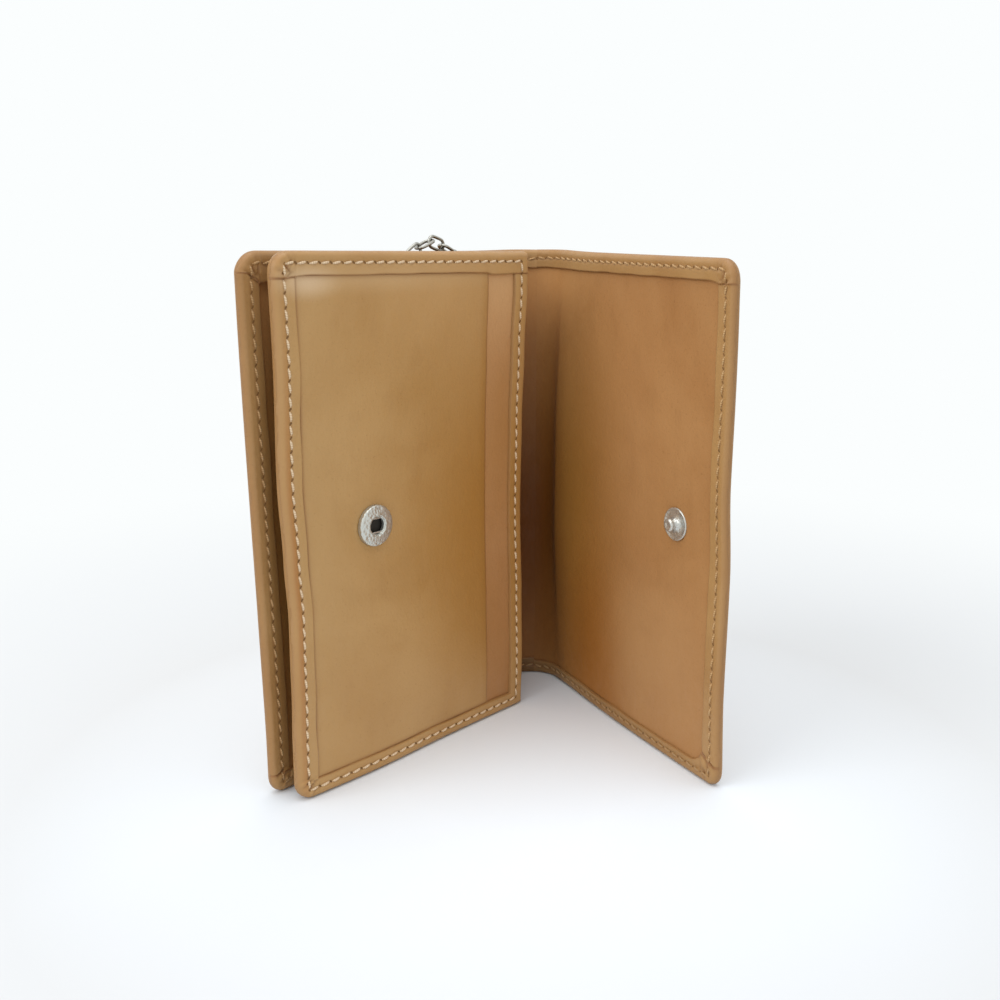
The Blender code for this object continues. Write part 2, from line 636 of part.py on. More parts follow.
def make_stud(flap_axis):
    """Stud on the flap's lining, held by a capped tube rivet from the outside."""
    place = Matrix.Translation((STUD_ALONG, 0.0, SNAP_HEIGHT)) @ Matrix.Rotation(math.pi, 4, "Z")
    seat = COVER_LINING_FACE + GLUE_GAP
    top = seat + STUD_FLANGE
    lip_rear = COVER_INNER + CLOSED_GAP - SOCKET_PROUD + SOCKET_LIP
    head = lip_rear + SPRING_WIRE + METAL_CLEARANCE
    outside = COVER_INNER + GLUE_GAP
    shank = METAL_CLEARANCE - outside
    stud = [
        (0.0, shank), (STUD_SHANK_RADIUS, shank), (STUD_SHANK_RADIUS, seat),
        (STUD_FLANGE_RADIUS, seat), (STUD_FLANGE_RADIUS, seat + STUD_FLANGE / 2),
        (STUD_FLANGE_RADIUS - STUD_FLANGE / 2, top), (STUD_HEAD_RADIUS + STUD_FLANGE, top),
        (STUD_NECK_RADIUS, top + STUD_FLANGE), (STUD_NECK_RADIUS, head),
        (STUD_HEAD_RADIUS, head + STUD_HEAD * 0.3), (STUD_HEAD_RADIUS, head + STUD_HEAD * 0.6),
        (STUD_HEAD_RADIUS * 0.7, head + STUD_HEAD * 0.92), (0.0, head + STUD_HEAD),
    ]
    add_object("snap_stud", mesh_from(turned(stud), "snap_stud", 30), metal("stud_nickel"),
               flap_axis, place)
    tube_end = seat - GLUE_GAP
    bore = STUD_SHANK_RADIUS + METAL_CLEARANCE
    rivet = [
        (0.0, -outside), (bore, -outside), (bore, tube_end), (STUD_TUBE_RADIUS, tube_end),
        (STUD_TUBE_RADIUS, -outside), (STUD_CAP_RADIUS, -outside),
        (STUD_CAP_RADIUS, -outside - RIVET_CAP / 3),
        (STUD_CAP_RADIUS * 0.8, -outside - RIVET_CAP * 0.8), (0.0, -outside - RIVET_CAP),
    ]
    add_object("stud_rivet", mesh_from(turned(rivet), "stud_rivet", 30), metal("cap_nickel"),
               flap_axis, place)


# Chain: anchor tab, end ring, links and key ring, all in one upright plane by the back lining

CHAIN_PLANE = Matrix.Rotation(BACK_TILT, 4, "Z")


def chain_point(along, height):
    """World point in the chain's plane: along the back panel from x = 0, and up."""
    foot = Vector((along, lining_face_at(along))) + BACK_INWARD * CHAIN_STANDOFF
    return Vector((foot.x, foot.y, height))


def heading_vector(degrees):
    turn = math.radians(degrees)
    return CHAIN_PLANE.to_3x3() @ Vector((math.cos(turn), 0.0, math.sin(turn)))


def chain_place(point, heading, roll=0.0):
    """Frame with x along a heading in the chain's plane, rolled about that x."""
    pitch = Matrix.Rotation(-math.radians(heading), 4, "Y")
    return Matrix.Translation(point) @ CHAIN_PLANE @ pitch @ Matrix.Rotation(roll, 4, "X")


def make_tab(back_frame):
    """Leather strap folded round the end ring, its plies laid flat on the lining and sewn."""
    loop = chain_point(TAB_LOOP_ALONG, TAB_LOOP_HEIGHT)
    wire_space = END_RING_WIRE / 2 + METAL_CLEARANCE
    sag = END_RING_RADIUS - math.sqrt(END_RING_RADIUS ** 2 - (TAB_WIDTH / 2) ** 2)
    back_face = -(CHAIN_STANDOFF - GLUE_GAP)
    outer = wire_space + TAB_PLY
    shoulder = outer
    flat_start = shoulder + 2 * TAB_PLY
    nose = []
    for step in range(9):
        turn = math.pi / 2 - math.pi * step / 8
        nose.append((sag + outer * math.cos(turn), outer * math.sin(turn)))
    profile = nose + [
        (-shoulder, -outer), (-flat_start, back_face), (-TAB_LENGTH, back_face),
        (-TAB_LENGTH, back_face + 2 * TAB_PLY), (-flat_start, back_face + 2 * TAB_PLY),
        (-shoulder, outer),
    ]
    place = parent_matrix(back_frame).inverted() @ chain_place(loop, TAB_HEADING)
    tab = add_object("chain_tab", mesh_from(across_prism(profile, TAB_WIDTH), "chain_tab", 40),
                     leather("tab_leather", TAN), back_frame, place)
    slot = []
    for first, reach in ((-90, sag), (90, 0.0)):
        for turn in part_turn(first, first + 180, 6):
            slot.append((reach + wire_space * math.cos(turn), wire_space * math.sin(turn)))
    cut(tab, "tab_slot", across_prism(slot, 3 * TAB_WIDTH), back_frame)
    return loop


def part_turn(first, last, steps):
    return [math.radians(first + (last - first) * step / steps) for step in range(steps + 1)]


def across_prism(profile, width):
    """Prism of an x-y profile, where y faces the leaf side, centred across the strap."""
    bm = bmesh.new()
    rim = [bm.verts.new((x, -y, -width / 2)) for x, y in profile]
    face = bm.faces.new(rim)
    grown = bmesh.ops.extrude_face_region(bm, geom=[face])
    raised = [v for v in grown["geom"] if isinstance(v, bmesh.types.BMVert)]
    bmesh.ops.translate(bm, verts=raised, vec=(0, 0, width))
    return bm


def ring_points(radius, steps):
    turns = [2 * math.pi * step / steps for step in range(steps)]
    return [(radius * math.cos(t), 0.0, radius * math.sin(t)) for t in turns]


def link_points():
    """Centre line of an oval link that lies along x, its middle at x = 0."""
    bend = (LINK_WIDTH - LINK_WIRE) / 2
    straight = (LINK_LENGTH - LINK_WIDTH) / 2
    points = []
    for first, centre in ((-90, straight), (90, -straight)):
        for turn in part_turn(first, first + 180, 7):
            points.append((centre + bend * math.cos(turn), 0.0, bend * math.sin(turn)))
    return points


def make_chain(back_frame, loop):
    """End ring, a run of links that rises from it, a run that falls again, and the key ring."""
    ring_axis = empty("end_ring_axis", back_frame, chain_place(loop, TAB_HEADING))
    ring_centre = loop + heading_vector(TAB_HEADING) * END_RING_RADIUS
    ring = wire_curve("end_ring", ring_points(END_RING_RADIUS, TURN_SEGMENTS), END_RING_WIRE, True)
    place = parent_matrix(ring_axis).inverted() @ chain_place(ring_centre, 0.0)
    add_object("end_ring", ring, metal("ring_nickel"), ring_axis, place)

    reach = (LINK_LENGTH - LINK_WIRE) / 2
    first_play = (LINK_WIRE + END_RING_WIRE) / 2 + LINK_PLAY
    joint = ring_centre + heading_vector(RISING_LINKS[0]) * (END_RING_RADIUS - first_play / 2)
    rise_axis = empty("chain_rise_axis", ring_axis, chain_place(joint, 0.0))
    joint += heading_vector(RISING_LINKS[0]) * (LINK_WIRE + LINK_PLAY - first_play) / 2
    joint = link_run(RISING_LINKS, 0, joint, rise_axis)
    fall_axis = empty("chain_fall_axis", rise_axis, chain_place(joint, 0.0))
    joint = link_run(FALLING_LINKS, len(RISING_LINKS), joint, fall_axis)

    last = heading_vector(FALLING_LINKS[-1])
    key_play = (LINK_WIRE + KEY_RING_WIRE) / 2 + LINK_PLAY
    hang = joint + last * (LINK_WIRE + LINK_PLAY - key_play) / 2
    key_axis = empty("key_ring_axis", fall_axis, chain_place(hang, 0.0))
    middle = hang + last * (KEY_RING_RADIUS - key_play / 2)
    place = parent_matrix(key_axis).inverted() @ chain_place(middle, FALLING_LINKS[-1] + 180.0)
    add_object("key_ring", wire_curve("key_ring", split_ring_points(), KEY_RING_WIRE, False),
               metal("key_ring_nickel"), key_axis, place)


def link_run(headings, before, joint, axis):
    """Links one after another from a joint between wires, each turned a quarter from the last."""
    pitch = LINK_LENGTH - 2 * LINK_WIRE - LINK_PLAY
    for number, heading in enumerate(headings, before + 1):
        centre = joint + heading_vector(heading) * pitch / 2
        roll = math.pi / 2 if number % 2 else 0.0
        name = f"link_{number:02d}"
        place = parent_matrix(axis).inverted() @ chain_place(centre, heading, roll)
        add_object(name, wire_curve(name, link_points(), LINK_WIRE, True), metal(name + "_nickel"),
                   axis, place)
        joint = joint + heading_vector(heading) * pitch
    return joint


def split_ring_points():
    """Two flat turns of wire joined by a short climb at the top, where the last link hangs; the
    ends stop short of the climb, so that one wire alone passes through the link."""
    pitch = KEY_RING_WIRE + KEY_RING_TURN_GAP
    climb = 2
    points = []
    for step in range(2 - TURN_SEGMENTS, TURN_SEGMENTS - 1):
        angle = 2 * math.pi * step / TURN_SEGMENTS
        rise = pitch / 2 * min(max(step / climb, -1.0), 1.0)
        points.append((KEY_RING_RADIUS * math.cos(angle), rise, KEY_RING_RADIUS * math.sin(angle)))
    return points


def stand_on_origin(root):
    """Move the whole wallet so that its box stands centred on the origin."""
    bpy.context.view_layer.update()
    depsgraph = bpy.context.evaluated_depsgraph_get()
    corners = []
    for obj in bpy.context.collection.objects:
        if obj.type == "EMPTY" or obj.hide_render:
            continue
        seen = obj.evaluated_get(depsgraph)
        mesh = seen.to_mesh()
        corners += [seen.matrix_world @ vertex.co for vertex in mesh.vertices]
        seen.to_mesh_clear()
    low = [min(corner[i] for corner in corners) for i in range(3)]
    high = [max(corner[i] for corner in corners) for i in range(3)]
    root.location = (-(low[0] + high[0]) / 2, -(low[1] + high[1]) / 2, -low[2])
    bpy.context.view_layer.update()


def main():
    clear_scene()
    root = empty("wallet", None, Matrix())
    back_frame, flap_axis = make_cover(root)
    leaf_axis = make_gusset(root, back_frame)
    make_leaf(leaf_axis)
    make_socket(leaf_axis)
    make_stud(flap_axis)
    loop = make_tab(back_frame)
    make_chain(back_frame, loop)
    stand_on_origin(root)


main()
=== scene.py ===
import json
import math

import bmesh
import bpy
from mathutils import Matrix, Vector, noise


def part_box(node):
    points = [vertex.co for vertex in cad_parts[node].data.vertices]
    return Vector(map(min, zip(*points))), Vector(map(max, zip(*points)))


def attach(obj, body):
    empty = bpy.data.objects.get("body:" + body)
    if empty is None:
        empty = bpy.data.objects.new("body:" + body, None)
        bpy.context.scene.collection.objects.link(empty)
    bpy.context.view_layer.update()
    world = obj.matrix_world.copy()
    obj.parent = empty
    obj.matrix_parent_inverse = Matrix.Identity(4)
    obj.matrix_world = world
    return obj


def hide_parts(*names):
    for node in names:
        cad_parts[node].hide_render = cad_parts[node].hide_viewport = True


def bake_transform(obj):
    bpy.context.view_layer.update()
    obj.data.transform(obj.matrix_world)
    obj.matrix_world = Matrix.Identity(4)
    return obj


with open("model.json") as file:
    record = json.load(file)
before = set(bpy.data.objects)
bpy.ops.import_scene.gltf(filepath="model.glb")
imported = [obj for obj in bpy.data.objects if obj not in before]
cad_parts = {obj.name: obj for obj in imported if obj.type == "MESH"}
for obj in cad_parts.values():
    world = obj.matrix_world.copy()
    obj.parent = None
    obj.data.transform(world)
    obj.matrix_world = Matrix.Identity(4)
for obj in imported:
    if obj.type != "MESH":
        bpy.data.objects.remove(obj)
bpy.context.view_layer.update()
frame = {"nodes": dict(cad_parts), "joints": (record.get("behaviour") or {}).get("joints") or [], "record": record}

MM = 0.001
scene = bpy.context.scene

# The studio: the camera stands where the photograph was taken from, a little above the wallet and
# off its open side. A pale table carries the wallet and keeps its soft shadow; close round the
# wallet its colour is painted lighter and bluer, painted light that lifts that shadow and the
# leather's warm bounce.

CAMERA_FROM_LEAF = (-130.15 * MM, -175.60 * MM)
CAMERA_HEIGHT = 116.5 * MM
CAMERA_LENS = 39.53
CAMERA_TILT = math.radians(76.92)
CAMERA_HEADING = math.radians(-47.71)
camera = bpy.data.cameras.new("camera")
camera.sensor_width = 36.0
camera.lens = CAMERA_LENS
camera.clip_start = 0.01
camera_stand = bpy.data.objects.new("camera", camera)
scene.collection.objects.link(camera_stand)
leaf_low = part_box("leaf_cover")[0]
camera_stand.location = (
    leaf_low.x + CAMERA_FROM_LEAF[0], leaf_low.y + CAMERA_FROM_LEAF[1], CAMERA_HEIGHT
)
camera_stand.rotation_euler = (CAMERA_TILT, 0.0, CAMERA_HEADING)
scene.camera = camera_stand
scene.view_settings.view_transform = "Standard"

table_mesh = bmesh.new()
bmesh.ops.create_grid(table_mesh, x_segments=1, y_segments=1, size=6.0)
table_data = bpy.data.meshes.new("table")
table_mesh.to_mesh(table_data)
table_mesh.free()
table = bpy.data.objects.new("table", table_data)
scene.collection.objects.link(table)


def feed(tree, node, sockets):
    """Gives a node's inputs, each by its name or number, a value or a link."""
    for key, value in sockets.items():
        socket = node.inputs[key]
        if isinstance(value, bpy.types.NodeSocket):
            tree.links.new(value, socket)
        elif socket.type == "RGBA":
            socket.default_value = (*value, 1.0)
        else:
            socket.default_value = value


def add_node(tree, kind, sockets=None):
    node = tree.nodes.new("ShaderNode" + kind)
    feed(tree, node, sockets or {})
    return node


def calculated(tree, operation, *values, clamp=False):
    """The result of one operation on numbers, such as ADD or SINE."""
    node = add_node(tree, "Math")
    node.operation = operation
    node.use_clamp = clamp
    feed(tree, node, dict(enumerate(values)))
    return node.outputs[0]


def length_of(tree, vector):
    node = add_node(tree, "VectorMath")
    node.operation = "LENGTH"
    feed(tree, node, {0: vector})
    return node.outputs["Value"]


def ranged(tree, value, low, high, to_low=0.0, to_high=1.0, course="SMOOTHSTEP"):
    """A value stretched from one range to another, and held at its ends."""
    node = add_node(tree, "MapRange")
    node.interpolation_type = course
    feed(tree, node, dict(enumerate((value, low, high, to_low, to_high))))
    return node.outputs["Result"]


def toned(tree, share, below, above):
    """The colour below where the share is 0, the one above where it is 1."""
    node = add_node(tree, "Mix")
    node.data_type = "RGBA"
    feed(tree, node, {"Factor": share, "A": below, "B": above})
    return node.outputs["Result"]


def new_material(name):
    material = bpy.data.materials.new(name)
    material.use_nodes = True
    return material, material.node_tree, material.node_tree.nodes["Principled BSDF"]


def seen_rays(tree):
    """1 for rays that end in the picture: seen directly, in a reflection or through glass."""
    ray = add_node(tree, "LightPath").outputs
    direct = calculated(tree, "ADD", ray["Is Camera Ray"], ray["Is Glossy Ray"])
    return calculated(tree, "ADD", direct, ray["Is Transmission Ray"], clamp=True)


BACKDROP_WHITE = (0.966, 0.99, 0.992)
# Painted light: the table is lighter and bluer near the wallet, lifting its shadow and the warm bounce there.
TABLE_NEAR_PAINTED_LIGHT = (0.84, 0.895, 0.95)
TABLE_OPEN = (0.67, 0.685, 0.695)
table_paint, table_tree, table_shader = new_material("table_paint")
table_place = add_node(table_tree, "TexCoord")
table_distance = length_of(table_tree, table_place.outputs["Object"])
table_painted_light_share = ranged(table_tree, table_distance, 0.03, 0.11, course="LINEAR")
feed(table_tree, table_shader, {
    "Base Color": toned(table_tree, table_painted_light_share, TABLE_NEAR_PAINTED_LIGHT, TABLE_OPEN),
    "Roughness": 0.8,
    "Specular IOR Level": 0.1,
})
table_far = add_node(table_tree, "Emission", {"Color": BACKDROP_WHITE})
table_fade = ranged(table_tree, table_distance, 0.10, 0.32)
table_share = calculated(table_tree, "MULTIPLY", table_fade, seen_rays(table_tree))
table_mix = add_node(
    table_tree, "MixShader",
    {"Fac": table_share, 1: table_shader.outputs[0], 2: table_far.outputs[0]},
)
feed(table_tree, table_tree.nodes["Material Output"], {"Surface": table_mix.outputs[0]})
table_data.materials.append(table_paint)

sky = bpy.data.worlds.new("studio")
scene.world = sky
sky.use_nodes = True
sky_tree = sky.node_tree
sky_lamp = sky_tree.nodes["Background"]
feed(sky_tree, sky_lamp, {"Color": (0.97, 0.985, 1.0), "Strength": 0.92})
sky_seen = add_node(sky_tree, "Background", {"Color": BACKDROP_WHITE, "Strength": 1.0})
sky_mix = add_node(
    sky_tree, "MixShader",
    {"Fac": seen_rays(sky_tree), 1: sky_lamp.outputs[0], 2: sky_seen.outputs[0]},
)
feed(sky_tree, sky_tree.nodes["World Output"], {"Surface": sky_mix.outputs[0]})


def soft_box(name, place, target, size, power):
    """A square soft lamp that faces a point of the wallet."""
    lamp = bpy.data.lights.new(name, "AREA")
    lamp.shape = "SQUARE"
    lamp.size = size
    lamp.energy = power
    stand = bpy.data.objects.new(name, lamp)
    scene.collection.objects.link(stand)
    stand.location = place
    stand.rotation_euler = (Vector(target) - Vector(place)).to_track_quat("-Z", "Y").to_euler()


soft_box("window_left", (-0.79, 0.20, 0.62), (0.0, 0.0, 0.06), 0.6, 2.6)
soft_box("overhead", (-0.05, 0.0, 1.15), (0.0, 0.0, 0.0), 1.0, 5.4)


# Cover: one long hide in vegetable-tanned leather that makes the back panel, the rounded spine and
# the snap flap. Its edges are skived, turned to the inside and sewn down as hems round the lining;
# the end hems are folded last, over the side ones, and gathered in pleats at the corners. It is
# cut here at the middle of the spine.

HEIGHT = 115.0 * MM
COVER_THICK = 2.5 * MM
BACK_LENGTH = 82.637 * MM
FLAP_LENGTH = 72.0 * MM
SPINE_RADIUS = 9.0 * MM
BACK_TILT = math.radians(5.24)
FLAP_TURN = math.radians(67.9)
ROLL = 1.1 * MM
END_HEM_RISE = 0.14 * MM
SPINE_TOP_RISE = 0.0032
FLAP_DROOP = 0.0095
CREASE_RISE = 2.3 * MM
DRAWN_IN = 0.985

fold_at = {joint["name"]: Vector(joint["pos_m"]) for joint in frame["joints"]}
back_fold = fold_at["spine_fold"]
flap_fold = fold_at["flap_fold"]
back_along = Vector((math.cos(BACK_TILT), math.sin(BACK_TILT), 0.0))
back_inward = Vector((back_along.y, -back_along.x, 0.0))
flap_along = Vector((-math.cos(FLAP_TURN), -math.sin(FLAP_TURN), 0.0))
flap_outward = Vector((-flap_along.y, flap_along.x, 0.0))
spine_centre = flap_fold - flap_outward * SPINE_RADIUS
spine_straight = (spine_centre - back_fold).dot(back_along)
spine_turn = math.pi + BACK_TILT - FLAP_TURN
HALF_ARC = SPINE_RADIUS * spine_turn / 2
back_half_length = BACK_LENGTH + spine_straight + HALF_ARC
flap_half_length = FLAP_LENGTH + HALF_ARC


def sway(a, z, seed, size=24.0 * MM, depth=0.16 * MM):
    """Slow waves that thick leather keeps when it stands open."""
    return depth * noise.noise((a / size + seed, z / size, seed * 1.7))


def eased(table, place):
    """A smooth line through measured places, each a share of the height and a shift in mm."""
    for (low, start), (high, end) in zip(table, table[1:]):
        if place <= high:
            share = max(0.0, (place - low) / (high - low))
            return (start + (end - start) * share * share * (3.0 - 2.0 * share)) * MM
    return table[-1][1] * MM


def bell(x, width):
    return math.exp(-(x / width) ** 2)


SWAY_FADE = 8.0 * MM
BACK_EDGE_SHIFT = ((0.0, 1.35), (1.0, -0.75))
BACK_TOP_RISE = 0.004


def on_back(a, h, z):
    """A point a from the back panel's free edge, h towards the inside of the mid surface."""
    free = max(0.0, 1.0 - a / BACK_LENGTH)
    h += sway(a, z, 3.1) * min(1.0, (back_half_length - a) / SWAY_FADE)
    turned_by = (a - BACK_LENGTH - spine_straight) / SPINE_RADIUS
    if turned_by <= 0:
        spot = back_fold + back_along * (a - BACK_LENGTH) + back_inward * h
        spot += back_along * eased(BACK_EDGE_SHIFT, z / HEIGHT) * free
    else:
        inward = back_inward * math.cos(turned_by) - back_along * math.sin(turned_by)
        spot = spine_centre - inward * (SPINE_RADIUS - h)
    spine = SPINE_TOP_RISE * bell(a - BACK_LENGTH - 8.0 * MM, 14.0 * MM)
    return Vector((spot.x, spot.y, z * (1.0 + BACK_TOP_RISE * free + spine)))


FLAP_EDGE_SHIFT = ((0.0, -0.9), (0.2, -0.2), (0.42, -0.3), (0.6, 0.6), (0.85, 0.45), (1.0, 0.7))
FLAP_FOOT_BOW = 0.8 * MM
CREASE_TIP = 0.9 * MM
CREASE_INTO_SPINE = 4.2 * MM
CREASE_INTO_FLAP = 7.5 * MM


def on_flap(a, h, z):
    """A point a from the flap's free edge. The leather stands in a ridge where the flap begins."""
    free = max(0.0, 1.0 - a / FLAP_LENGTH)
    past = a - FLAP_LENGTH
    softened = math.sqrt(past * past + CREASE_TIP ** 2) - CREASE_TIP
    ridge = math.exp(-softened / (CREASE_INTO_SPINE if past > 0 else CREASE_INTO_FLAP))
    if past > 0:
        ridge *= (1.0 - (past / HALF_ARC) ** 2) ** 2
    h += CREASE_RISE * ridge * math.sin(math.pi * z / HEIGHT)
    h += sway(a, z, 7.7) * min(1.0, (flap_half_length - a) / SWAY_FADE)
    h += eased(FLAP_EDGE_SHIFT, z / HEIGHT) * free
    h += FLAP_FOOT_BOW * math.sin(math.pi * free) * (1.0 - z / HEIGHT)
    turned_by = past / SPINE_RADIUS
    if turned_by <= 0:
        spot = flap_fold - flap_along * past * DRAWN_IN - flap_outward * h
    else:
        outward = Matrix.Rotation(turned_by, 3, "Z") @ flap_outward
        spot = spine_centre + outward * (SPINE_RADIUS - h)
    spine = SPINE_TOP_RISE * bell(past - 6.0 * MM, 12.0 * MM)
    return Vector((spot.x, spot.y, z * (1.0 - FLAP_DROOP * free + spine)))


def cut_lines(length, near, far, step, fine_from=None):
    """Places across a hide: close together over its rolled edges, seams and hem ends."""
    over_hem = [0.0, 0.05, 0.16, 0.36, 0.62, 0.9, 1.15, 1.5, 1.8, 2.1, 2.3, 2.5, 2.8, 3.2, 3.8]
    hem_end = (-0.35, -0.12, -0.02, 0.03, 0.14, 0.4, 0.9)
    start = [x * MM for x in over_hem if x * MM < near - 0.4 * MM]
    start += [near + x * MM for x in hem_end]
    end = []
    if far:
        end = [length - x * MM for x in over_hem if x * MM < far - 0.4 * MM]
        end += [length - far - x * MM for x in hem_end]
        end.sort()
    spot = start[-1] + step
    middle = []
    while spot < (end[0] if end else length) - step * 0.4:
        middle.append(spot)
        spot += step if fine_from is None or spot < fine_from else 0.5 * MM
    return start + middle + (end if end else [length])


def rounded(a, z, length, low, high, far):
    """Moves a point of a square-cornered hide so that its corners follow their radii."""
    near = low if z < HEIGHT / 2 else high
    for radius, from_side, mirror in ((near, a, False), (far, length - a, True)):
        from_end = min(z, HEIGHT - z)
        if radius and from_side < radius and from_end < radius:
            inset = min(from_side, from_end)
            share = 1.0 - (max(from_side, from_end) - inset) / (radius - inset)
            lean = math.pi / 4 * share
            reach = radius - inset
            across = radius - reach * math.cos(lean)
            along = radius - reach * math.sin(lean)
            if from_side > from_end:
                across, along = along, across
            if mirror:
                across = length - across
            return across, along if z < HEIGHT / 2 else HEIGHT - along
    return a, z


def rolled(inset):
    """Height of a rolled edge, from 0 at the rim to 1 past the roll."""
    return math.sqrt(max(0.0, 1.0 - (1.0 - min(inset, ROLL) / ROLL) ** 2))


def finished_piece(bm, name, materials=(), crease=None):
    """Turns a bmesh into a smooth piece; edges sharper than the crease, in degrees, stay hard."""
    for face in bm.faces:
        face.smooth = True
    mesh = bpy.data.meshes.new(name)
    bm.to_mesh(mesh)
    bm.free()
    if crease:
        mesh.set_sharp_from_angle(angle=math.radians(crease))
    for material in materials:
        mesh.materials.append(material)
    piece = bpy.data.objects.new(name, mesh)
    scene.collection.objects.link(piece)
    return piece


OUTER_HIDE = 0.5


def grid_piece(name, place, rows, columns, shape, top, bottom, tint):
    """Two faces of a hide laid over a grid of lines and joined all round.

    The outer face reads another stretch of the leather's pattern than the inner one."""
    bm = bmesh.new()
    hide = bm.verts.layers.float_vector.new("hide")
    for height, side in ((top, 1.0), (bottom, -1.0)):
        grid = bmesh.ops.create_grid(
            bm, x_segments=len(rows) - 1, y_segments=len(columns) - 1, size=0.5
        )
        for vert in grid["verts"]:
            flat_a = rows[round((vert.co.x + 0.5) * (len(rows) - 1))]
            flat_z = columns[round((vert.co.y + 0.5) * (len(columns) - 1))]
            a, z = shape(flat_a, flat_z)
            vert[hide] = (a + (OUTER_HIDE if side < 0 else 0.0), z, tint(flat_a, flat_z, side))
            vert.co = place(a, height(flat_a, flat_z), z)
    bmesh.ops.remove_doubles(bm, verts=bm.verts, dist=0.004 * MM)
    bmesh.ops.holes_fill(bm, edges=[e for e in bm.edges if e.is_boundary], sides=0)
    bmesh.ops.recalc_face_normals(bm, faces=bm.faces)
    return finished_piece(bm, name, crease=55)


HEM_WANDER = 0.34 * MM
HEM_DROP = 1.5 * MM
SKIVED_BY = 0.24 * MM
SKIVE_WIDTH = 2.2 * MM
SEAM_SINK = 0.16 * MM
PLEAT_RISE = 0.34 * MM
PLEAT_CLOSENESS = 19.0


def turned_panel(name, place, length, hems, seams, corners, folds, thick, step,
                 fine_from=None, notch=None):
    """A hide turned to the inside along its edges, whose end hems lie over its side hems.

    hems are the widths at the free side, the bottom, the top and the hinge side; seams the insets
    at the free side, the ends and the hinge side; corners the radii at the bottom, the top and the
    hinge; folds how much wider the bottom and the top hem are at the side hem and at the rim, and
    how far past the side hem that reaches."""
    near, low, high, far = hems
    rows = cut_lines(length, near, far, step, fine_from)
    columns = cut_lines(HEIGHT, low, high, step)

    def least(a, z, free, bottom, top, hinge):
        sides = [a - free, z - bottom, HEIGHT - z - top]
        if far:
            sides.append(length - a - hinge)
        return min(sides)

    def inset(a, z):
        return least(a, z, 0.0, 0.0, 0.0, 0.0)

    def past(a, z):
        return least(a, z, near, low, high, far)

    def from_seam(a, z):
        return least(a, z, seams[0], seams[1], seams[1], seams[2])

    def from_fold(z):
        """Distance past the raw edge of the end hem; below 0 under the end hem."""
        return z - low if z < HEIGHT / 2 else HEIGHT - z - high

    def widened(a, z):
        """The end hems are cut wider where they cover a side hem."""
        inner, rim, reach = folds[0 if z < HEIGHT / 2 else 1]
        hem, from_end = (low, z) if z < HEIGHT / 2 else (high, HEIGHT - z)
        if a < near:
            wide = rim + (inner - rim) * (a / near) ** 2
        else:
            wide = inner * math.exp((near - a) / reach)
        if from_end < hem:
            return wide * (from_end / hem) ** 2
        return wide * max(0.0, 1.0 - (from_end - hem) / (8.0 * MM))

    def shape(a, z):
        new_a, new_z = rounded(a, z, length, *corners)
        wander = HEM_WANDER * noise.noise((a / (9.0 * MM), z / (9.0 * MM), length * 50.0))
        new_a += wander * bell(a - near, 0.9 * MM) * min(1.0, inset(a, z) / near)
        up = wander * bell(from_fold(z), 0.9 * MM) + widened(a, z)
        if notch and z > HEIGHT / 2 and a > notch:
            up += 0.45 * MM * bell(from_fold(z), 0.7 * MM)
        return new_a, new_z + (up if z < HEIGHT / 2 else -up)

    def pleat(a, z):
        """Gathers that fan out from a rounded corner under the turned hem."""
        reach = corners[1] * 1.3
        from_end = min(z, HEIGHT - z)
        if a > reach or from_end > reach:
            return 0.0
        turn = math.atan2(reach - from_end, reach - a)
        rest = math.hypot(reach - from_end, reach - a) / reach
        fan = math.cos(turn * PLEAT_CLOSENESS + 0.6) * bell(rest - 0.62, 0.3)
        return fan * math.sin(min(turn, 1.57) * 2)

    def folded_over(z):
        """1 on an end hem that visibly lies over the side hem."""
        return 1.0 if from_fold(z) <= 0 and any(folds[0 if z < HEIGHT / 2 else 1][:2]) else 0.0

    def hem_face(a, z):
        edge = past(a, z)
        if edge > 0:
            return thick / 2 - HEM_DROP
        skived = SKIVED_BY * min(1.0, max(0.0, from_seam(a, z) / SKIVE_WIDTH))
        lip = 0.12 * MM * max(0.0, 1.0 + edge / (0.12 * MM))
        whole = thick / 2 - 0.1 * MM - skived - lip + END_HEM_RISE * folded_over(z)
        whole += PLEAT_RISE * pleat(a, z)
        return whole * rolled(inset(a, z)) - SEAM_SINK * bell(from_seam(a, z), 0.42 * MM)

    def outer_face(a, z):
        return 0.13 * MM * bell(from_seam(a, z), 0.45 * MM) - thick / 2 * rolled(inset(a, z))

    def tint(a, z, side):
        """1 where the leather is burnished or soiled, and where painted shade lies along the end hems' folded
        edges and in the pleats' hollows; 0 on the open hide.
        """
        rim = 0.6 * math.exp(-inset(a, z) / (1.0 * MM))
        seam = 0.3 * bell(from_seam(a, z), 0.5 * MM)
        if side < 0:
            return min(1.0, rim + seam)
        raw = 0.6 * bell(past(a, z), 0.25 * MM)
        # Painted shade: a dark line where the end hem's edge lies over the side hem, and darkening in the pleats'
        # hollows.
        if (a < near or (far and a > length - far)) and any(folds[0 if z < HEIGHT / 2 else 1][:2]):
            raw += 0.85 * bell(from_fold(z), 0.2 * MM)
        return min(1.0, rim + seam + raw + 0.8 * max(0.0, -pleat(a, z)))

    return grid_piece(name, place, rows, columns, shape, hem_face, outer_face, tint)


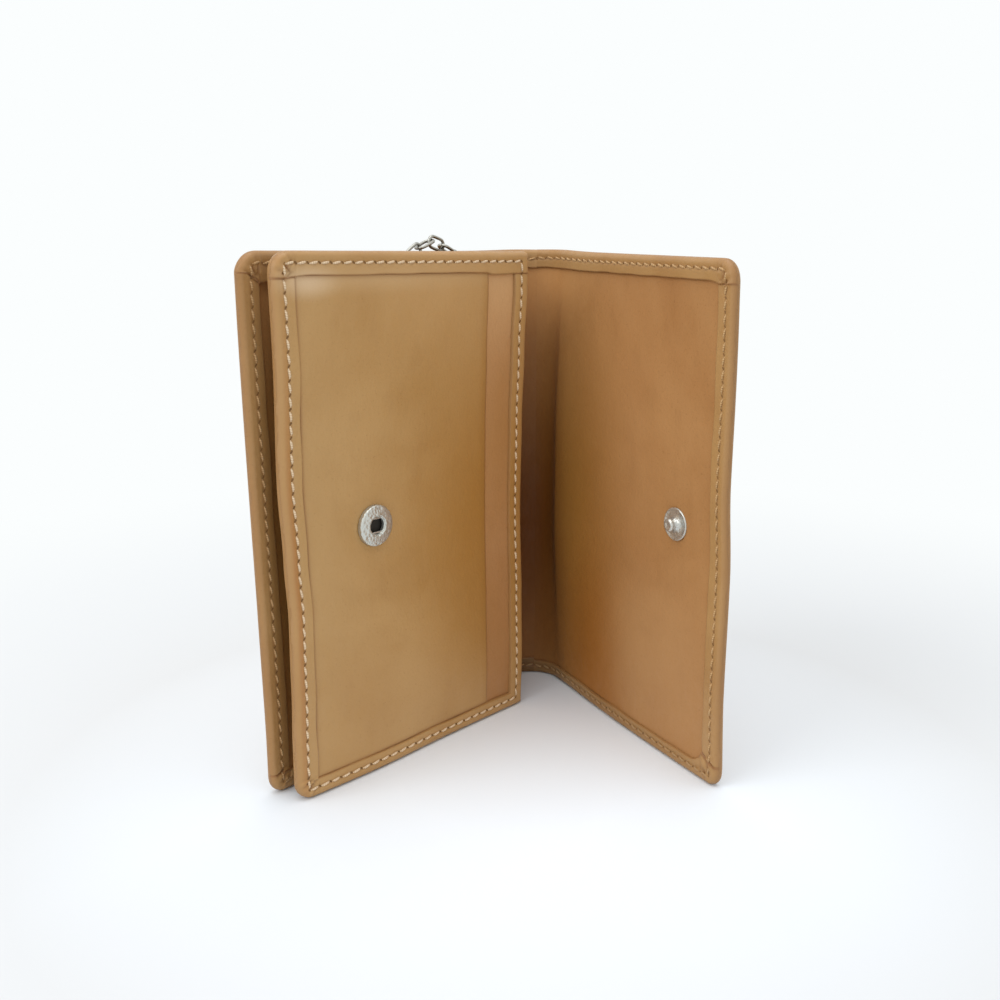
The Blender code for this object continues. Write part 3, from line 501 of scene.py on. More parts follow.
def tanned_leather(name, pale, deep, burnt_and_shade, gloss=0.46, shine=0.4, grain=1.0, mottle=1.0,
                   patches=()):
    """Vegetable-tanned leather: clouds of colour, fine pores, burnished edges, and patches, which paint light and
    shade as well as uneven tone.

    patches are a middle (across, up), its reach across and up, a colour and a share."""
    material, tree, shader = new_material(name)
    hide = add_node(tree, "Attribute")
    hide.attribute_name = "hide"
    across, up, burnish_and_shade = add_node(tree, "SeparateXYZ", {0: hide.outputs["Vector"]}).outputs
    flat = add_node(tree, "CombineXYZ", {"X": across, "Y": up}).outputs[0]

    def speckle(scale, detail, rough, stretch=(1.0, 1.0, 1.0), warp=0.0):
        drawn = add_node(tree, "Mapping", {
            "Vector": flat, "Location": (scale * 0.37, scale * 0.11, 0.0), "Scale": stretch,
        })
        return add_node(tree, "TexNoise", {
            "Vector": drawn.outputs[0], "Scale": scale, "Detail": detail, "Roughness": rough,
            "Distortion": warp,
        }).outputs["Fac"]

    clouds = speckle(24.0, 3.0, 0.55, warp=0.4)
    blotches = speckle(95.0, 4.0, 0.62, warp=0.8)
    streaks = speckle(70.0, 4.0, 0.6, (2.6, 0.9, 1.0))
    freckles = speckle(1400.0, 2.0, 0.7)
    colour = toned(tree, ranged(tree, clouds, 0.33, 0.66), deep, pale)
    for marks, low, share, tone in (
        (blotches, 0.52, 0.45, deep), (streaks, 0.50, 0.12, burnt_and_shade), (freckles, 0.58, 0.35, burnt_and_shade),
    ):
        colour = toned(tree, ranged(tree, marks, low, 0.80, 0.0, share * mottle), colour, tone)
    for middle, reach, tone, share in patches:
        shifted = add_node(tree, "Mapping", {
            "Vector": flat, "Location": (*middle, 0.0), "Scale": (*reach, 1.0),
        })
        shifted.vector_type = "TEXTURE"
        away = length_of(tree, shifted.outputs[0])
        colour = toned(tree, ranged(tree, away, 0.0, 1.0, share, 0.0), colour, tone)
    # The burnt colour over this mask paints burnished edges and, on turned panels, painted shade along folded hem
    # edges and in pleat hollows.
    colour = toned(tree, ranged(tree, burnish_and_shade, 0.0, 1.0, 0.0, 0.8), colour, burnt_and_shade)

    pores = add_node(tree, "TexVoronoi")
    pores.feature = "SMOOTH_F1"
    feed(tree, pores, {"Vector": flat, "Scale": 1250.0, "Smoothness": 0.6})
    wrinkles = speckle(240.0, 6.0, 0.66, (1.7, 1.0, 1.0), 0.6)
    relief = calculated(tree, "MULTIPLY_ADD", pores.outputs["Distance"], 0.35, wrinkles)
    bump = add_node(tree, "Bump", {
        "Strength": 0.55 * grain, "Distance": 0.16 * MM, "Height": relief,
    })
    feed(tree, shader, {
        "Base Color": colour,
        "Normal": bump.outputs[0],
        "Roughness": ranged(tree, wrinkles, 0.3, 0.7, gloss - 0.08, gloss + 0.12),
        "Specular IOR Level": shine,
        "Sheen Weight": 0.04,
        "Sheen Roughness": 0.5,
        "Sheen Tint": (1.0, 0.86, 0.66),
    })
    return material


def bends_with_back(piece):
    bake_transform(piece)


def bends_with_flap(piece):
    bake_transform(piece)


BACK_HEMS = (5.2 * MM, 4.2 * MM, 4.6 * MM, 0.0)
FLAP_HEMS = (5.2 * MM, 3.6 * MM, 4.5 * MM, 0.0)
BACK_SEAMS = (2.8 * MM, 2.3 * MM, 0.0)
FLAP_SEAMS = (2.4 * MM, 2.1 * MM, 0.0)
COVER_TONES = ((0.45, 0.26, 0.098), (0.385, 0.205, 0.070), (0.25, 0.105, 0.030))
# Darker along the foot inside the cover; the second patch is painted shade, deepest at the spine's foot in the
# fold's corner.
FOOT_DARK_AND_SPINE_SHADE = (
    ((50 * MM, 1 * MM), (46 * MM, 6.5 * MM), (0.30, 0.155, 0.046), 0.6),
    ((92 * MM, 2 * MM), (32 * MM, 9 * MM), (0.13, 0.062, 0.014), 0.9),
)
# Painted shade along the back's free-edge hem, which lies in the leaf's shade.
FREE_HEM_SHADE = ((4.6 * MM, 50 * MM), (2.8 * MM, 74 * MM), (0.24, 0.12, 0.026), 0.6)
FLAP_FOOT = ((22 * MM, 1 * MM), (36 * MM, 6.0 * MM), (0.33, 0.18, 0.062), 0.7)
back_leather = tanned_leather("back_leather", *COVER_TONES, patches=FOOT_DARK_AND_SPINE_SHADE + (FREE_HEM_SHADE,))
flap_leather = tanned_leather("flap_leather", *COVER_TONES, patches=(FLAP_FOOT,) + FOOT_DARK_AND_SPINE_SHADE)
back_half = turned_panel(
    "cover_back", on_back, back_half_length, BACK_HEMS, BACK_SEAMS, (3.8 * MM, 5.0 * MM, 0.0),
    ((0.3 * MM, 0.3 * MM, 1.5 * MM), (1.9 * MM, -0.6 * MM, 7.0 * MM)), COVER_THICK, 1.6 * MM,
    BACK_LENGTH - 4.0 * MM,
)
back_half.data.materials.append(back_leather)
bends_with_back(back_half)
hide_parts("back_cover", "spine_cover")
flap_half = turned_panel(
    "cover_flap", on_flap, flap_half_length, FLAP_HEMS, FLAP_SEAMS, (3.2 * MM, 4.5 * MM, 0.0),
    ((3.2 * MM, 1.3 * MM, 1.5 * MM), (0.6 * MM, 0.4 * MM, 1.5 * MM)), COVER_THICK, 1.6 * MM,
    FLAP_LENGTH - 6.0 * MM,
)
flap_half.data.materials.append(flap_leather)
bends_with_flap(flap_half)
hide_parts("flap_cover")


# Lining: a thinner, rosier hide glued inside the cover. The hems lie over its edges. Painted shade
# darkens it towards the spine, in the creased fold, and painted light makes it paler at the spine's top.

LINING_LEVEL = 0.30 * MM
LINING_THICK = 0.45 * MM
LINING_PUFF = 0.14 * MM
LINING_FOOT_SWELL = 0.36 * MM
HEM_SLIT = -0.10 * MM


def laid_sheet(name, place, across, up, level, thick, step, fine_from=None, open_end=False,
               edge=0.55):
    """A thin sheet between two places across and two heights, with softly rounded edges."""
    start, end = across
    low, high = up
    rim = (0.0, 0.04, 0.14, 0.34, 0.8)
    rows = [start + x * MM for x in rim]
    spot = rows[-1] + step
    last = end if open_end else end - 0.8 * MM
    while spot < last - step * 0.3:
        rows.append(spot)
        spot += step if fine_from is None or spot < fine_from else 0.5 * MM
    rows += [end] if open_end else [end - x * MM for x in reversed(rim)]
    columns = [low + x * MM for x in rim]
    count = int((high - low) / step)
    columns += [low + (high - low) * i / count for i in range(1, count)]
    columns += [high - x * MM for x in reversed(rim)]

    def inset(a, z):
        return max(0.0, min(a - start, 1.0 if open_end else end - a, z - low, high - z))

    def round_off(a, z):
        return thick / 2 * (1.0 - math.sqrt(1.0 - (1.0 - min(1.0, inset(a, z) / (0.15 * MM))) ** 2))

    return grid_piece(
        name, place, rows, columns, lambda a, z: (a, z),
        lambda a, z: level(a, z) - round_off(a, z),
        lambda a, z: level(a, z) - thick + round_off(a, z),
        lambda a, z, side: edge * math.exp(-inset(a, z) / (0.5 * MM)),
    )


def lining_level(a, z):
    """The lining rises and falls a little where its glue holds less."""
    fine = noise.noise((a / (7.0 * MM), z / (16.0 * MM), 4.4))
    fine *= min(1.0, z / (9.0 * MM), (HEIGHT - z) / (9.0 * MM))
    swell = LINING_FOOT_SWELL * math.exp(-(z - 3.6 * MM) / (4.0 * MM))
    return LINING_LEVEL + LINING_PUFF * fine + swell


LINING_DARK = (0.17, 0.062, 0.014)
# Painted shade for the spine's fold, and painted light for the top of the spine, which light from above reaches.
CREASE_PAINTED_SHADE = ((0.125, 0.034, 0.001), 0.95)
TOP_PAINTED_LIGHT = ((0.56, 0.29, 0.105), 0.85)


def lining_leather(name, patches):
    return tanned_leather(
        name, (0.435, 0.222, 0.082), (0.372, 0.174, 0.057), LINING_DARK,
        gloss=0.58, shine=0.22, grain=1.1, mottle=1.35, patches=patches,
    )


back_lining = laid_sheet(
    "lining_back", on_back, (BACK_HEMS[0] + HEM_SLIT, back_half_length),
    (BACK_HEMS[1] + HEM_SLIT, HEIGHT - BACK_HEMS[2] - HEM_SLIT), lining_level, LINING_THICK,
    1.8 * MM, BACK_LENGTH - 4.0 * MM, open_end=True,
)
back_lining.data.materials.append(
    lining_leather("back_lining_leather", (
        # Painted shade: a dark band on the lining behind the leaf's free edge, the spine's fold, and a small dark
        # spot under the top hem's fold; painted light at the top of the spine.
        ((10 * MM, 52 * MM), (12 * MM, 84 * MM), (0.23, 0.105, 0.014), 0.85),
        ((back_half_length, 43 * MM), (36 * MM, 75 * MM), *CREASE_PAINTED_SHADE),
        ((back_half_length, 114 * MM), (36 * MM, 27 * MM), *TOP_PAINTED_LIGHT),
        ((9.0 * MM, 107.6 * MM), (4.8 * MM, 2.4 * MM), (0.16, 0.062, 0.012), 0.6),
    ))
)
bends_with_back(back_lining)
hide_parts("back_lining", "spine_lining")
flap_lining = laid_sheet(
    "lining_flap", on_flap, (FLAP_HEMS[0] + HEM_SLIT, flap_half_length),
    (FLAP_HEMS[1] + HEM_SLIT, HEIGHT - FLAP_HEMS[2] - HEM_SLIT), lining_level, LINING_THICK,
    1.8 * MM, FLAP_LENGTH - 6.0 * MM, open_end=True,
)
flap_lining.data.materials.append(
    lining_leather("flap_lining_leather", (
        # Painted light over the flap's upper middle; painted shade towards the crease and low beside it.
        ((40 * MM, 68 * MM), (30 * MM, 70 * MM), (0.52, 0.275, 0.105), 0.4),
        ((66 * MM, 50 * MM), (34 * MM, 76 * MM), (0.39, 0.170, 0.020), 0.75),
        ((56 * MM, 10 * MM), (26 * MM, 46 * MM), (0.36, 0.120, 0.006), 0.68),
        ((20 * MM, 22 * MM), (34 * MM, 34 * MM), (0.50, 0.285, 0.125), 0.5),
        ((flap_half_length, 43 * MM), (20 * MM, 75 * MM), *CREASE_PAINTED_SHADE),
        ((flap_half_length, 114 * MM), (32 * MM, 27 * MM), *TOP_PAINTED_LIGHT),
    ))
)
bends_with_flap(flap_lining)
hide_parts("flap_lining")


# Cover seam: waxed thread in the colour of the leather, sewn through hem, lining and outer hide in
# one row a little in from the edge. Each stitch slants and sinks at its ends into a needle hole.

STITCH_PITCH = 2.85 * MM


def seam_track(length, seams):
    """The line of a seam round a panel: open at a spine, closed where all sides are sewn."""
    free, ends, hinge = seams
    corners = [(length - hinge, ends), (free, ends), (free, HEIGHT - ends)]
    corners.append((length - hinge, HEIGHT - ends))
    return corners + corners[:1] if hinge else corners


def stitch_places(track):
    """Middle, direction and length of each stitch; every side starts and ends at a hole."""
    for first, second in zip(track, track[1:]):
        first, second = Vector(first), Vector(second)
        span = (second - first).length
        count = max(1, round(span / STITCH_PITCH))
        along = (second - first) / span
        for number in range(count):
            yield first + along * (span * (number + 0.5) / count), along, span / count


def copied(bm, count, number):
    """Fills a bmesh with copies of what it holds, and gives every copy its own number."""
    made = 1
    while made < count:
        geometry = [v for v in bm.verts if v[number] < count - made]
        geometry += [e for e in bm.edges if e.verts[0][number] < count - made]
        geometry += [f for f in bm.faces if f.verts[0][number] < count - made]
        for item in bmesh.ops.duplicate(bm, geom=geometry)["geom"]:
            if isinstance(item, bmesh.types.BMVert):
                item[number] += made
        made *= 2


STITCH_WOBBLE = 0.07
END_ROW = 4.0 * MM
HOLE_LEAN = 0.8
HOLE_LENGTH = 0.75
HOLE_WIDTH = 0.36


def sew(name, place, track, level, side, width, slant, shown, materials, raised=(0.0, 0.0)):
    """Stitches along a track on one side of a panel, with the holes they sink into.

    width is the thread's, slant how far a stitch leans and shown half its share of the pitch;
    raised is how much higher the end hems lie at the bottom and at the top."""
    stitches = list(stitch_places(track))
    bm = bmesh.new()
    number = bm.verts.layers.int.new("number")
    part = bm.verts.layers.int.new("part")
    thread = bm.verts.layers.float_vector.new("thread")
    bmesh.ops.create_uvsphere(bm, u_segments=6, v_segments=6, radius=1.0)
    hole = bmesh.ops.create_circle(bm, cap_ends=True, segments=8, radius=1.0)
    for vert in hole["verts"]:
        vert[part] = 1
    copied(bm, len(stitches), number)
    for vert in bm.verts:
        middle, along, span = stitches[vert[number]]
        base = level
        if middle.y < END_ROW:
            base += raised[0]
        elif middle.y > HEIGHT - END_ROW:
            base += raised[1]
        # The hole is a flat disc on the surface, painted dark for the shade inside the hole.
        if vert[part]:
            run = Matrix.Rotation(-HOLE_LEAN * side, 2) @ along
            cross = Vector((-run.y, run.x))
            mouth = run * (vert.co.x * HOLE_LENGTH * width)
            mouth += cross * (vert.co.y * HOLE_WIDTH * width)
            spot = middle + along * (span / 2) + mouth
            vert.co = place(spot.x, side * (base + 0.03 * MM), spot.y)
            continue
        lean = slant + STITCH_WOBBLE * noise.noise((vert[number] * 0.9, side, 2.0))
        run = Matrix.Rotation(lean * side, 2) @ along
        cross = Vector((-run.y, run.x))
        half = span * (shown + 0.03 * noise.noise((vert[number] * 1.3, side, 5.0)))
        long, wide, up = vert.co.z, vert.co.x, vert.co.y
        thin = math.sqrt(max(1e-9, 1.0 - long * long))
        full = max(0.0, 1.0 - abs(long) ** 3) ** 0.5
        spot = middle + run * (long * half) + cross * (wide / thin * full * width / 2)
        lift = width * (up / thin * full * 0.42 + 0.16 - 0.62 * long ** 4)
        vert[thread] = (long * half, math.atan2(up, wide) / math.tau, 0.0)
        vert.co = place(spot.x, side * (base + lift), spot.y)
    for face in bm.faces:
        face.material_index = face.verts[0][part]
    bmesh.ops.recalc_face_normals(bm, faces=bm.faces)
    return finished_piece(bm, name, materials)


PLY_TURN = 0.5 * MM
DARKER_UP_TO = (2.8 * MM, 7.0 * MM)


def waxed_thread(name, colour, shade, foot=None):
    """Twisted plies show as slanting stripes round the thread; foot is its darker colour near the bottom."""
    material, tree, shader = new_material(name)
    lay = add_node(tree, "Attribute")
    lay.attribute_name = "thread"
    along, around = add_node(tree, "SeparateXYZ", {0: lay.outputs["Vector"]}).outputs[:2]
    twist = calculated(tree, "MULTIPLY_ADD", along, 1.0 / PLY_TURN, around)
    ply = calculated(tree, "SINE", calculated(tree, "MULTIPLY", twist, math.tau))
    stripe = ranged(tree, ply, -1.0, 1.0, course="LINEAR")
    tone = toned(tree, stripe, shade, colour)
    if foot:
        place = add_node(tree, "TexCoord").outputs["Object"]
        height = add_node(tree, "SeparateXYZ", {0: place}).outputs["Z"]
        darker_below = ranged(tree, height, *DARKER_UP_TO, 0.85, 0.0, course="LINEAR")
        tone = toned(tree, darker_below, tone, foot)
    bump = add_node(tree, "Bump", {"Strength": 0.5, "Distance": 0.05 * MM, "Height": stripe})
    feed(tree, shader, {
        "Base Color": tone, "Normal": bump.outputs[0], "Roughness": 0.6, "Sheen Weight": 0.1,
    })
    return material


def needle_hole(name, colour):
    """A flat dark mark painted as the shade inside a needle hole, darker in some places than others."""
    material, tree, shader = new_material(name)
    place = add_node(tree, "TexCoord").outputs["Object"]
    hole_unevenness = add_node(tree, "TexNoise", {"Vector": place, "Scale": 420.0}).outputs["Fac"]
    darker_hole, lighter_hole = [c * 0.6 for c in colour], [c * 1.4 for c in colour]
    feed(tree, shader, {"Base Color": toned(tree, hole_unevenness, darker_hole, lighter_hole), "Roughness": 0.85})
    return material


TAN_STITCH = (0.52 * MM, 0.25, 0.40)
cover_sewing = (
    waxed_thread("tan_thread", (0.58, 0.37, 0.165), (0.40, 0.22, 0.08), (0.36, 0.21, 0.085)),
    needle_hole("cover_needle_hole", (0.23, 0.115, 0.036)),
)
hem_level = COVER_THICK / 2 - 0.18 * MM
outer_level = COVER_THICK / 2 - 0.13 * MM
for side, level, word in ((1.0, hem_level, "inside"), (-1.0, outer_level, "outside")):
    folded = (END_HEM_RISE, END_HEM_RISE) if side > 0 else (0.0, 0.0)
    back_seam = sew("seam_back_" + word, on_back, seam_track(back_half_length, BACK_SEAMS),
                    level, side, *TAN_STITCH, cover_sewing, folded)
    bends_with_back(back_seam)
    flap_seam = sew("seam_flap_" + word, on_flap, seam_track(flap_half_length, FLAP_SEAMS),
                    level, side, *TAN_STITCH, cover_sewing, folded)
    bends_with_flap(flap_seam)


# Card leaf: a stiffer panel turned to the front on all four sides and sewn with pale thread. The
# card pocket lies under its hems and opens towards the spine, where the pocket's back shows.

LEAF_WIDTH = 73.3 * MM
LEAF_THICK = 3.2 * MM
LEAF_HEMS = (5.0 * MM, 4.1 * MM, 4.7 * MM, 4.9 * MM)
LEAF_SEAMS = (2.3 * MM, 2.3 * MM, 2.8 * MM)
POCKET_MOUTH = 59.65 * MM
SNAP_HEIGHT = 56.6 * MM
socket_low, socket_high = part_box("snap_socket")
socket_spot = Vector(((socket_low.x + socket_high.x) / 2, leaf_low.y, SNAP_HEIGHT + 0.45 * MM))
FREE_EDGE_SHIFT = (
    (0.0, -0.5), (0.1, -0.4), (0.22, 0.05), (0.35, 0.25), (0.46, -0.4), (0.6, -1.15), (0.8, -0.8),
    (1.0, -1.15),
)
HINGE_EDGE_SHIFT = (
    (0.0, -1.45), (0.12, -1.0), (0.25, -1.3), (0.45, -2.0), (0.65, -1.5), (0.8, -0.6), (0.93, 0.4),
    (1.0, 0.2),
)
LEAF_FOOT_BELLY = 0.9 * MM
LEAF_BELLY_MIDDLE = 22.0 * MM
LEAF_BELLY_REACH = 20.0 * MM
LEAF_TOP_RISE = 0.0042


def on_leaf(a, h, z):
    """A point a from the leaf's free edge, h in front of its mid surface."""
    up = z / HEIGHT
    free = max(0.0, 1.0 - a / LEAF_WIDTH)
    x = leaf_low.x + a + eased(FREE_EDGE_SHIFT, up) * free ** 2
    x += eased(HINGE_EDGE_SHIFT, up) * (1.0 - free) ** 2
    h += LEAF_FOOT_BELLY * bell(a - LEAF_BELLY_MIDDLE, LEAF_BELLY_REACH) * bell(up, 0.3)
    y = leaf_low.y + LEAF_THICK / 2 - h - sway(a, z, 11.3, 30.0 * MM, 0.22 * MM)
    return Vector((x, y, z * (1.0 + LEAF_TOP_RISE * free)))


LEAF_BURNT_AND_SHADE = (0.25, 0.105, 0.030)
leaf_leather = tanned_leather(
    "leaf_leather", (0.505, 0.298, 0.113), (0.44, 0.243, 0.080), LEAF_BURNT_AND_SHADE, gloss=0.42,
    patches=(
        # Painted shade towards the hinge side, where the flap shades the leaf; painted light at the top and
        # towards the free edge; a burnished stripe along the free edge; a dark line at the pocket's mouth, partly
        # its dark edge and partly painted shade; and painted highlights under the top hem.
        ((58 * MM, 52 * MM), (34 * MM, 64 * MM), (0.405, 0.190, 0.036), 0.82),
        ((46 * MM, 108 * MM), (36 * MM, 24 * MM), (0.56, 0.33, 0.135), 0.6),
        ((0.0, 60 * MM), (26 * MM, 90 * MM), (0.50, 0.31, 0.125), 0.5),
        ((1.5 * MM, 46 * MM), (1.5 * MM, 90 * MM), (0.42, 0.175, 0.042), 0.75),
        ((58.6 * MM, 62 * MM), (2.2 * MM, 84 * MM), (0.38, 0.18, 0.036), 0.5),
        ((28 * MM, 109.8 * MM), (52 * MM, 4.4 * MM), (0.60, 0.39, 0.19), 0.6),
        ((8 * MM, 109.0 * MM), (10 * MM, 4.6 * MM), (0.72, 0.53, 0.33), 0.7),
    ),
)
leaf = turned_panel(
    "card_leaf", on_leaf, LEAF_WIDTH, LEAF_HEMS, LEAF_SEAMS, (3.8 * MM, 4.2 * MM, 0.9 * MM),
    ((0.0, 0.0, 1.5 * MM), (0.3 * MM, 0.5 * MM, 1.5 * MM)), LEAF_THICK, 1.6 * MM,
    notch=POCKET_MOUTH,
)
leaf.data.materials.append(leaf_leather)
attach(leaf, "leaf")
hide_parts("leaf_cover")


POCKET_SINK = 0.66 * MM
POCKET_BACK_SINK = 0.98 * MM


def pocket_level(a, z):
    """The pocket swells a little over its cards' place and dips round the snap."""
    swell = math.sin(math.pi * min(1.0, a / POCKET_MOUTH)) * math.sin(math.pi * z / HEIGHT)
    from_snap = max(0.0, math.hypot(a - socket_spot.x + leaf_low.x, z - SNAP_HEIGHT) - 3.0 * MM)
    return LEAF_THICK / 2 - POCKET_SINK + (0.35 * swell - 0.45 * bell(from_snap, 3.2 * MM)) * MM


def pocket_back_level(a, z):
    uneven = 0.06 * MM * noise.noise((a / (6 * MM), z / (15 * MM), 9.0))
    return LEAF_THICK / 2 - POCKET_BACK_SINK + uneven


leaf_heights = (LEAF_HEMS[1] + HEM_SLIT, HEIGHT - LEAF_HEMS[2] - HEM_SLIT)
pocket = laid_sheet(
    "card_pocket_panel", on_leaf, (LEAF_HEMS[0] + HEM_SLIT, POCKET_MOUTH), leaf_heights,
    pocket_level, LINING_THICK, 1.3 * MM, edge=1.0,
)
pocket.data.materials.append(leaf_leather)
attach(pocket, "leaf")
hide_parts("card_pocket")
pocket_back = laid_sheet(
    "pocket_back_panel", on_leaf,
    (POCKET_MOUTH - 6.0 * MM, LEAF_WIDTH - LEAF_HEMS[3] - HEM_SLIT), leaf_heights,
    pocket_back_level, LINING_THICK, 1.6 * MM,
)
pocket_back.data.materials.append(tanned_leather(
    "pocket_back_leather", (0.56, 0.31, 0.138), (0.51, 0.265, 0.104), LEAF_BURNT_AND_SHADE, gloss=0.48,
    patches=(
        # Painted shade low down and at the middle, where the flap shades the pocket's back, and painted light at
        # its top.
        ((66 * MM, 0.0), (40 * MM, 80 * MM), (0.38, 0.175, 0.050), 0.7),
        ((67 * MM, 74 * MM), (16 * MM, 34 * MM), (0.41, 0.195, 0.048), 0.6),
        ((66 * MM, 112 * MM), (20 * MM, 26 * MM), (0.66, 0.40, 0.185), 0.8),
    ),
))
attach(pocket_back, "leaf")
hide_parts("pocket_back")

PALE_STITCH = (0.56 * MM, 0.17, 0.39)
leaf_sewing = (
    waxed_thread("pale_thread", (0.80, 0.63, 0.42), (0.62, 0.44, 0.26)),
    needle_hole("leaf_needle_hole", (0.19, 0.095, 0.030)),
)
for side, level, word in ((1.0, LEAF_THICK / 2 - 0.19 * MM, "front"),
                          (-1.0, LEAF_THICK / 2 - 0.13 * MM, "rear")):
    leaf_seam = sew("seam_leaf_" + word, on_leaf, seam_track(LEAF_WIDTH, LEAF_SEAMS), level, side,
                    *PALE_STITCH, leaf_sewing, (0.0, END_HEM_RISE if side > 0 else 0.0))
    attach(leaf_seam, "leaf")


# Gusset: a strip folded to a channel, glued by one flange to the back lining and by the other to
# the leaf's rear, so that the leaf can swing. It is cut at the middle of its wall.

GUSSET_THICK = 0.64 * MM
gusset_low, gusset_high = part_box("gusset_wall")
gusset_fold = fold_at["gusset_fold"]
leaf_fold = fold_at["leaf_fold"]
wall_x = gusset_high.x
wall_middle = (gusset_low.y + gusset_high.y) / 2
back_flange_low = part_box("gusset_back_flange")[0]
leaf_flange_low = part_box("gusset_leaf_flange")[0]
on_lining = gusset_fold.y + 0.45 * MM
on_leaf_rear = leaf_fold.y - 0.35 * MM
gusset_leather = tanned_leather(
    "gusset_leather", (0.38, 0.19, 0.068), (0.31, 0.145, 0.048), (0.19, 0.075, 0.025), gloss=0.55,
)


def folded_strip(name, points, low, high):
    """A strip along a plan line, bent smoothly at its corners and closed all round."""
    bm = bmesh.new()
    line = [bm.verts.new((x, y, low)) for x, y in points]
    for first, second in zip(line, line[1:]):
        bm.edges.new((first, second))
    bmesh.ops.bevel(
        bm, geom=line[1:-1], offset=0.9 * MM, offset_type="OFFSET", segments=6, profile=0.5,
        affect="VERTICES", material=-1,
    )
    raised = bmesh.ops.extrude_edge_only(bm, edges=list(bm.edges))
    upper = [item for item in raised["geom"] if isinstance(item, bmesh.types.BMVert)]
    bmesh.ops.translate(bm, verts=upper, vec=(0.0, 0.0, high - low))
    tall = [e for e in bm.edges if abs(e.verts[0].co.z - e.verts[1].co.z) > GUSSET_THICK]
    bmesh.ops.subdivide_edges(bm, edges=tall, cuts=40, use_grid_fill=True)
    hide = bm.verts.layers.float_vector.new("hide")
    for vert in bm.verts:
        vert[hide] = (vert.co.x + vert.co.y, vert.co.z, 0.1)
    bmesh.ops.recalc_face_normals(bm, faces=bm.faces)
    bmesh.ops.solidify(bm, geom=list(bm.faces), thickness=GUSSET_THICK)
    bmesh.ops.recalc_face_normals(bm, faces=bm.faces)
    for vert in bm.verts:
        near_leaf = (on_lining - vert.co.y) / (on_lining - on_leaf_rear)
        vert.co.x += eased(HINGE_EDGE_SHIFT, vert.co.z / HEIGHT) * max(0.0, near_leaf)
    return finished_piece(bm, name, [gusset_leather], crease=50)


back_channel = folded_strip(
    "gusset_back_half",
    [
        (back_flange_low.x, on_lining - (wall_x - back_flange_low.x) * math.tan(BACK_TILT)),
        (wall_x, on_lining), (wall_x, wall_middle),
    ],
    gusset_low.z, gusset_high.z,
)
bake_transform(back_channel)
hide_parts("gusset_back_flange", "gusset_wall")
leaf_channel = folded_strip(
    "gusset_leaf_half",
    [(wall_x, wall_middle), (wall_x, on_leaf_rear), (leaf_flange_low.x, on_leaf_rear)],
    gusset_low.z, gusset_high.z,
)
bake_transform(leaf_channel)
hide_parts("gusset_leaf_flange")


# Snap: a nickel-plated press stud. The socket is a pressed ring over a wire spring in a cup,
# riveted through the leaf; the stud is turned from brass and riveted through the flap.


def nickel(name, colour, rough, metal=1.0, stipple=0.0):
    """Soft nickel plate with faint rubbing, and on pressed faces a fine stipple."""
    material, tree, shader = new_material(name)
    place = add_node(tree, "TexCoord").outputs["Object"]
    rubbed = add_node(
        tree, "TexNoise", {"Vector": place, "Scale": 900.0, "Detail": 4.0}
    ).outputs["Fac"]
    bump = add_node(tree, "Bump", {"Strength": 0.12, "Distance": 0.03 * MM, "Height": rubbed})
    if stipple:
        dots = add_node(tree, "TexVoronoi", {"Vector": place, "Scale": 1500.0})
        bump = add_node(tree, "Bump", {
            "Strength": stipple, "Distance": 0.12 * MM, "Height": dots.outputs["Distance"],
            "Normal": bump.outputs[0],
        })
    feed(tree, shader, {
        "Base Color": toned(tree, rubbed, [c * 0.86 for c in colour], colour),
        "Metallic": metal,
        "Normal": bump.outputs[0],
        "Roughness": ranged(
            tree, rubbed, 0.0, 1.0, rough - 0.08, rough + 0.14, course="LINEAR"
        ),
    })
    return material


def turned_part(name, profile, place, axis, material, steps=64):
    """Spins a profile of radius and height in mm; height runs along the axis from the place."""
    bm = bmesh.new()
    line = [bm.verts.new((radius * MM, 0.0, height * MM)) for radius, height in profile]
    edges = [bm.edges.new(pair) for pair in zip(line, line[1:])]
    if profile[0][0] > 0 and profile[-1][0] > 0:
        edges.append(bm.edges.new((line[-1], line[0])))
    bmesh.ops.spin(
        bm, geom=line + edges, cent=(0, 0, 0), axis=(0, 0, 1), dvec=(0, 0, 0),
        angle=math.tau, steps=steps, use_merge=True, use_duplicate=False,
    )
    bmesh.ops.remove_doubles(bm, verts=bm.verts, dist=0.001 * MM)
    bmesh.ops.recalc_face_normals(bm, faces=bm.faces)
    turn = Vector(axis).to_track_quat("Z", "Y").to_matrix().to_4x4()
    bmesh.ops.transform(bm, matrix=Matrix.Translation(place) @ turn, verts=bm.verts)
    return finished_piece(bm, name, [material], crease=38)


def arc(centre_r, centre_h, radius, first, last, steps=6):
    """Points round a small fillet of a turned profile."""
    turns = [math.radians(first + (last - first) * i / steps) for i in range(steps + 1)]
    return [(centre_r + radius * math.cos(t), centre_h + radius * math.sin(t)) for t in turns]


satin_nickel = nickel("satin_nickel", (0.62, 0.62, 0.58), 0.27, 0.72, 0.6)
stippled_nickel = nickel("stippled_nickel", (0.66, 0.67, 0.62), 0.34, 0.8, 1.0)
bright_nickel = nickel("bright_nickel", (0.66, 0.64, 0.60), 0.24)
front = (0.0, -1.0, 0.0)
ring_profile = (
    [(3.6, -0.62), (4.58, -0.62)]
    + arc(4.16, 0.05, 0.42, 0, 75)
    + [(3.8, 0.52), (3.3, 0.60), (2.8, 0.66)]
    + arc(2.42, 0.46, 0.26, 70, 180)
    + arc(2.10, 0.34, 0.18, 60, 200, 4)
    + [(1.92, 0.0), (1.92, -0.30), (2.45, -0.36), (3.5, -0.30)]
)
socket = turned_part("snap_ring", ring_profile, socket_spot, front, stippled_nickel, 72)
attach(socket, "leaf")
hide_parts("snap_socket")
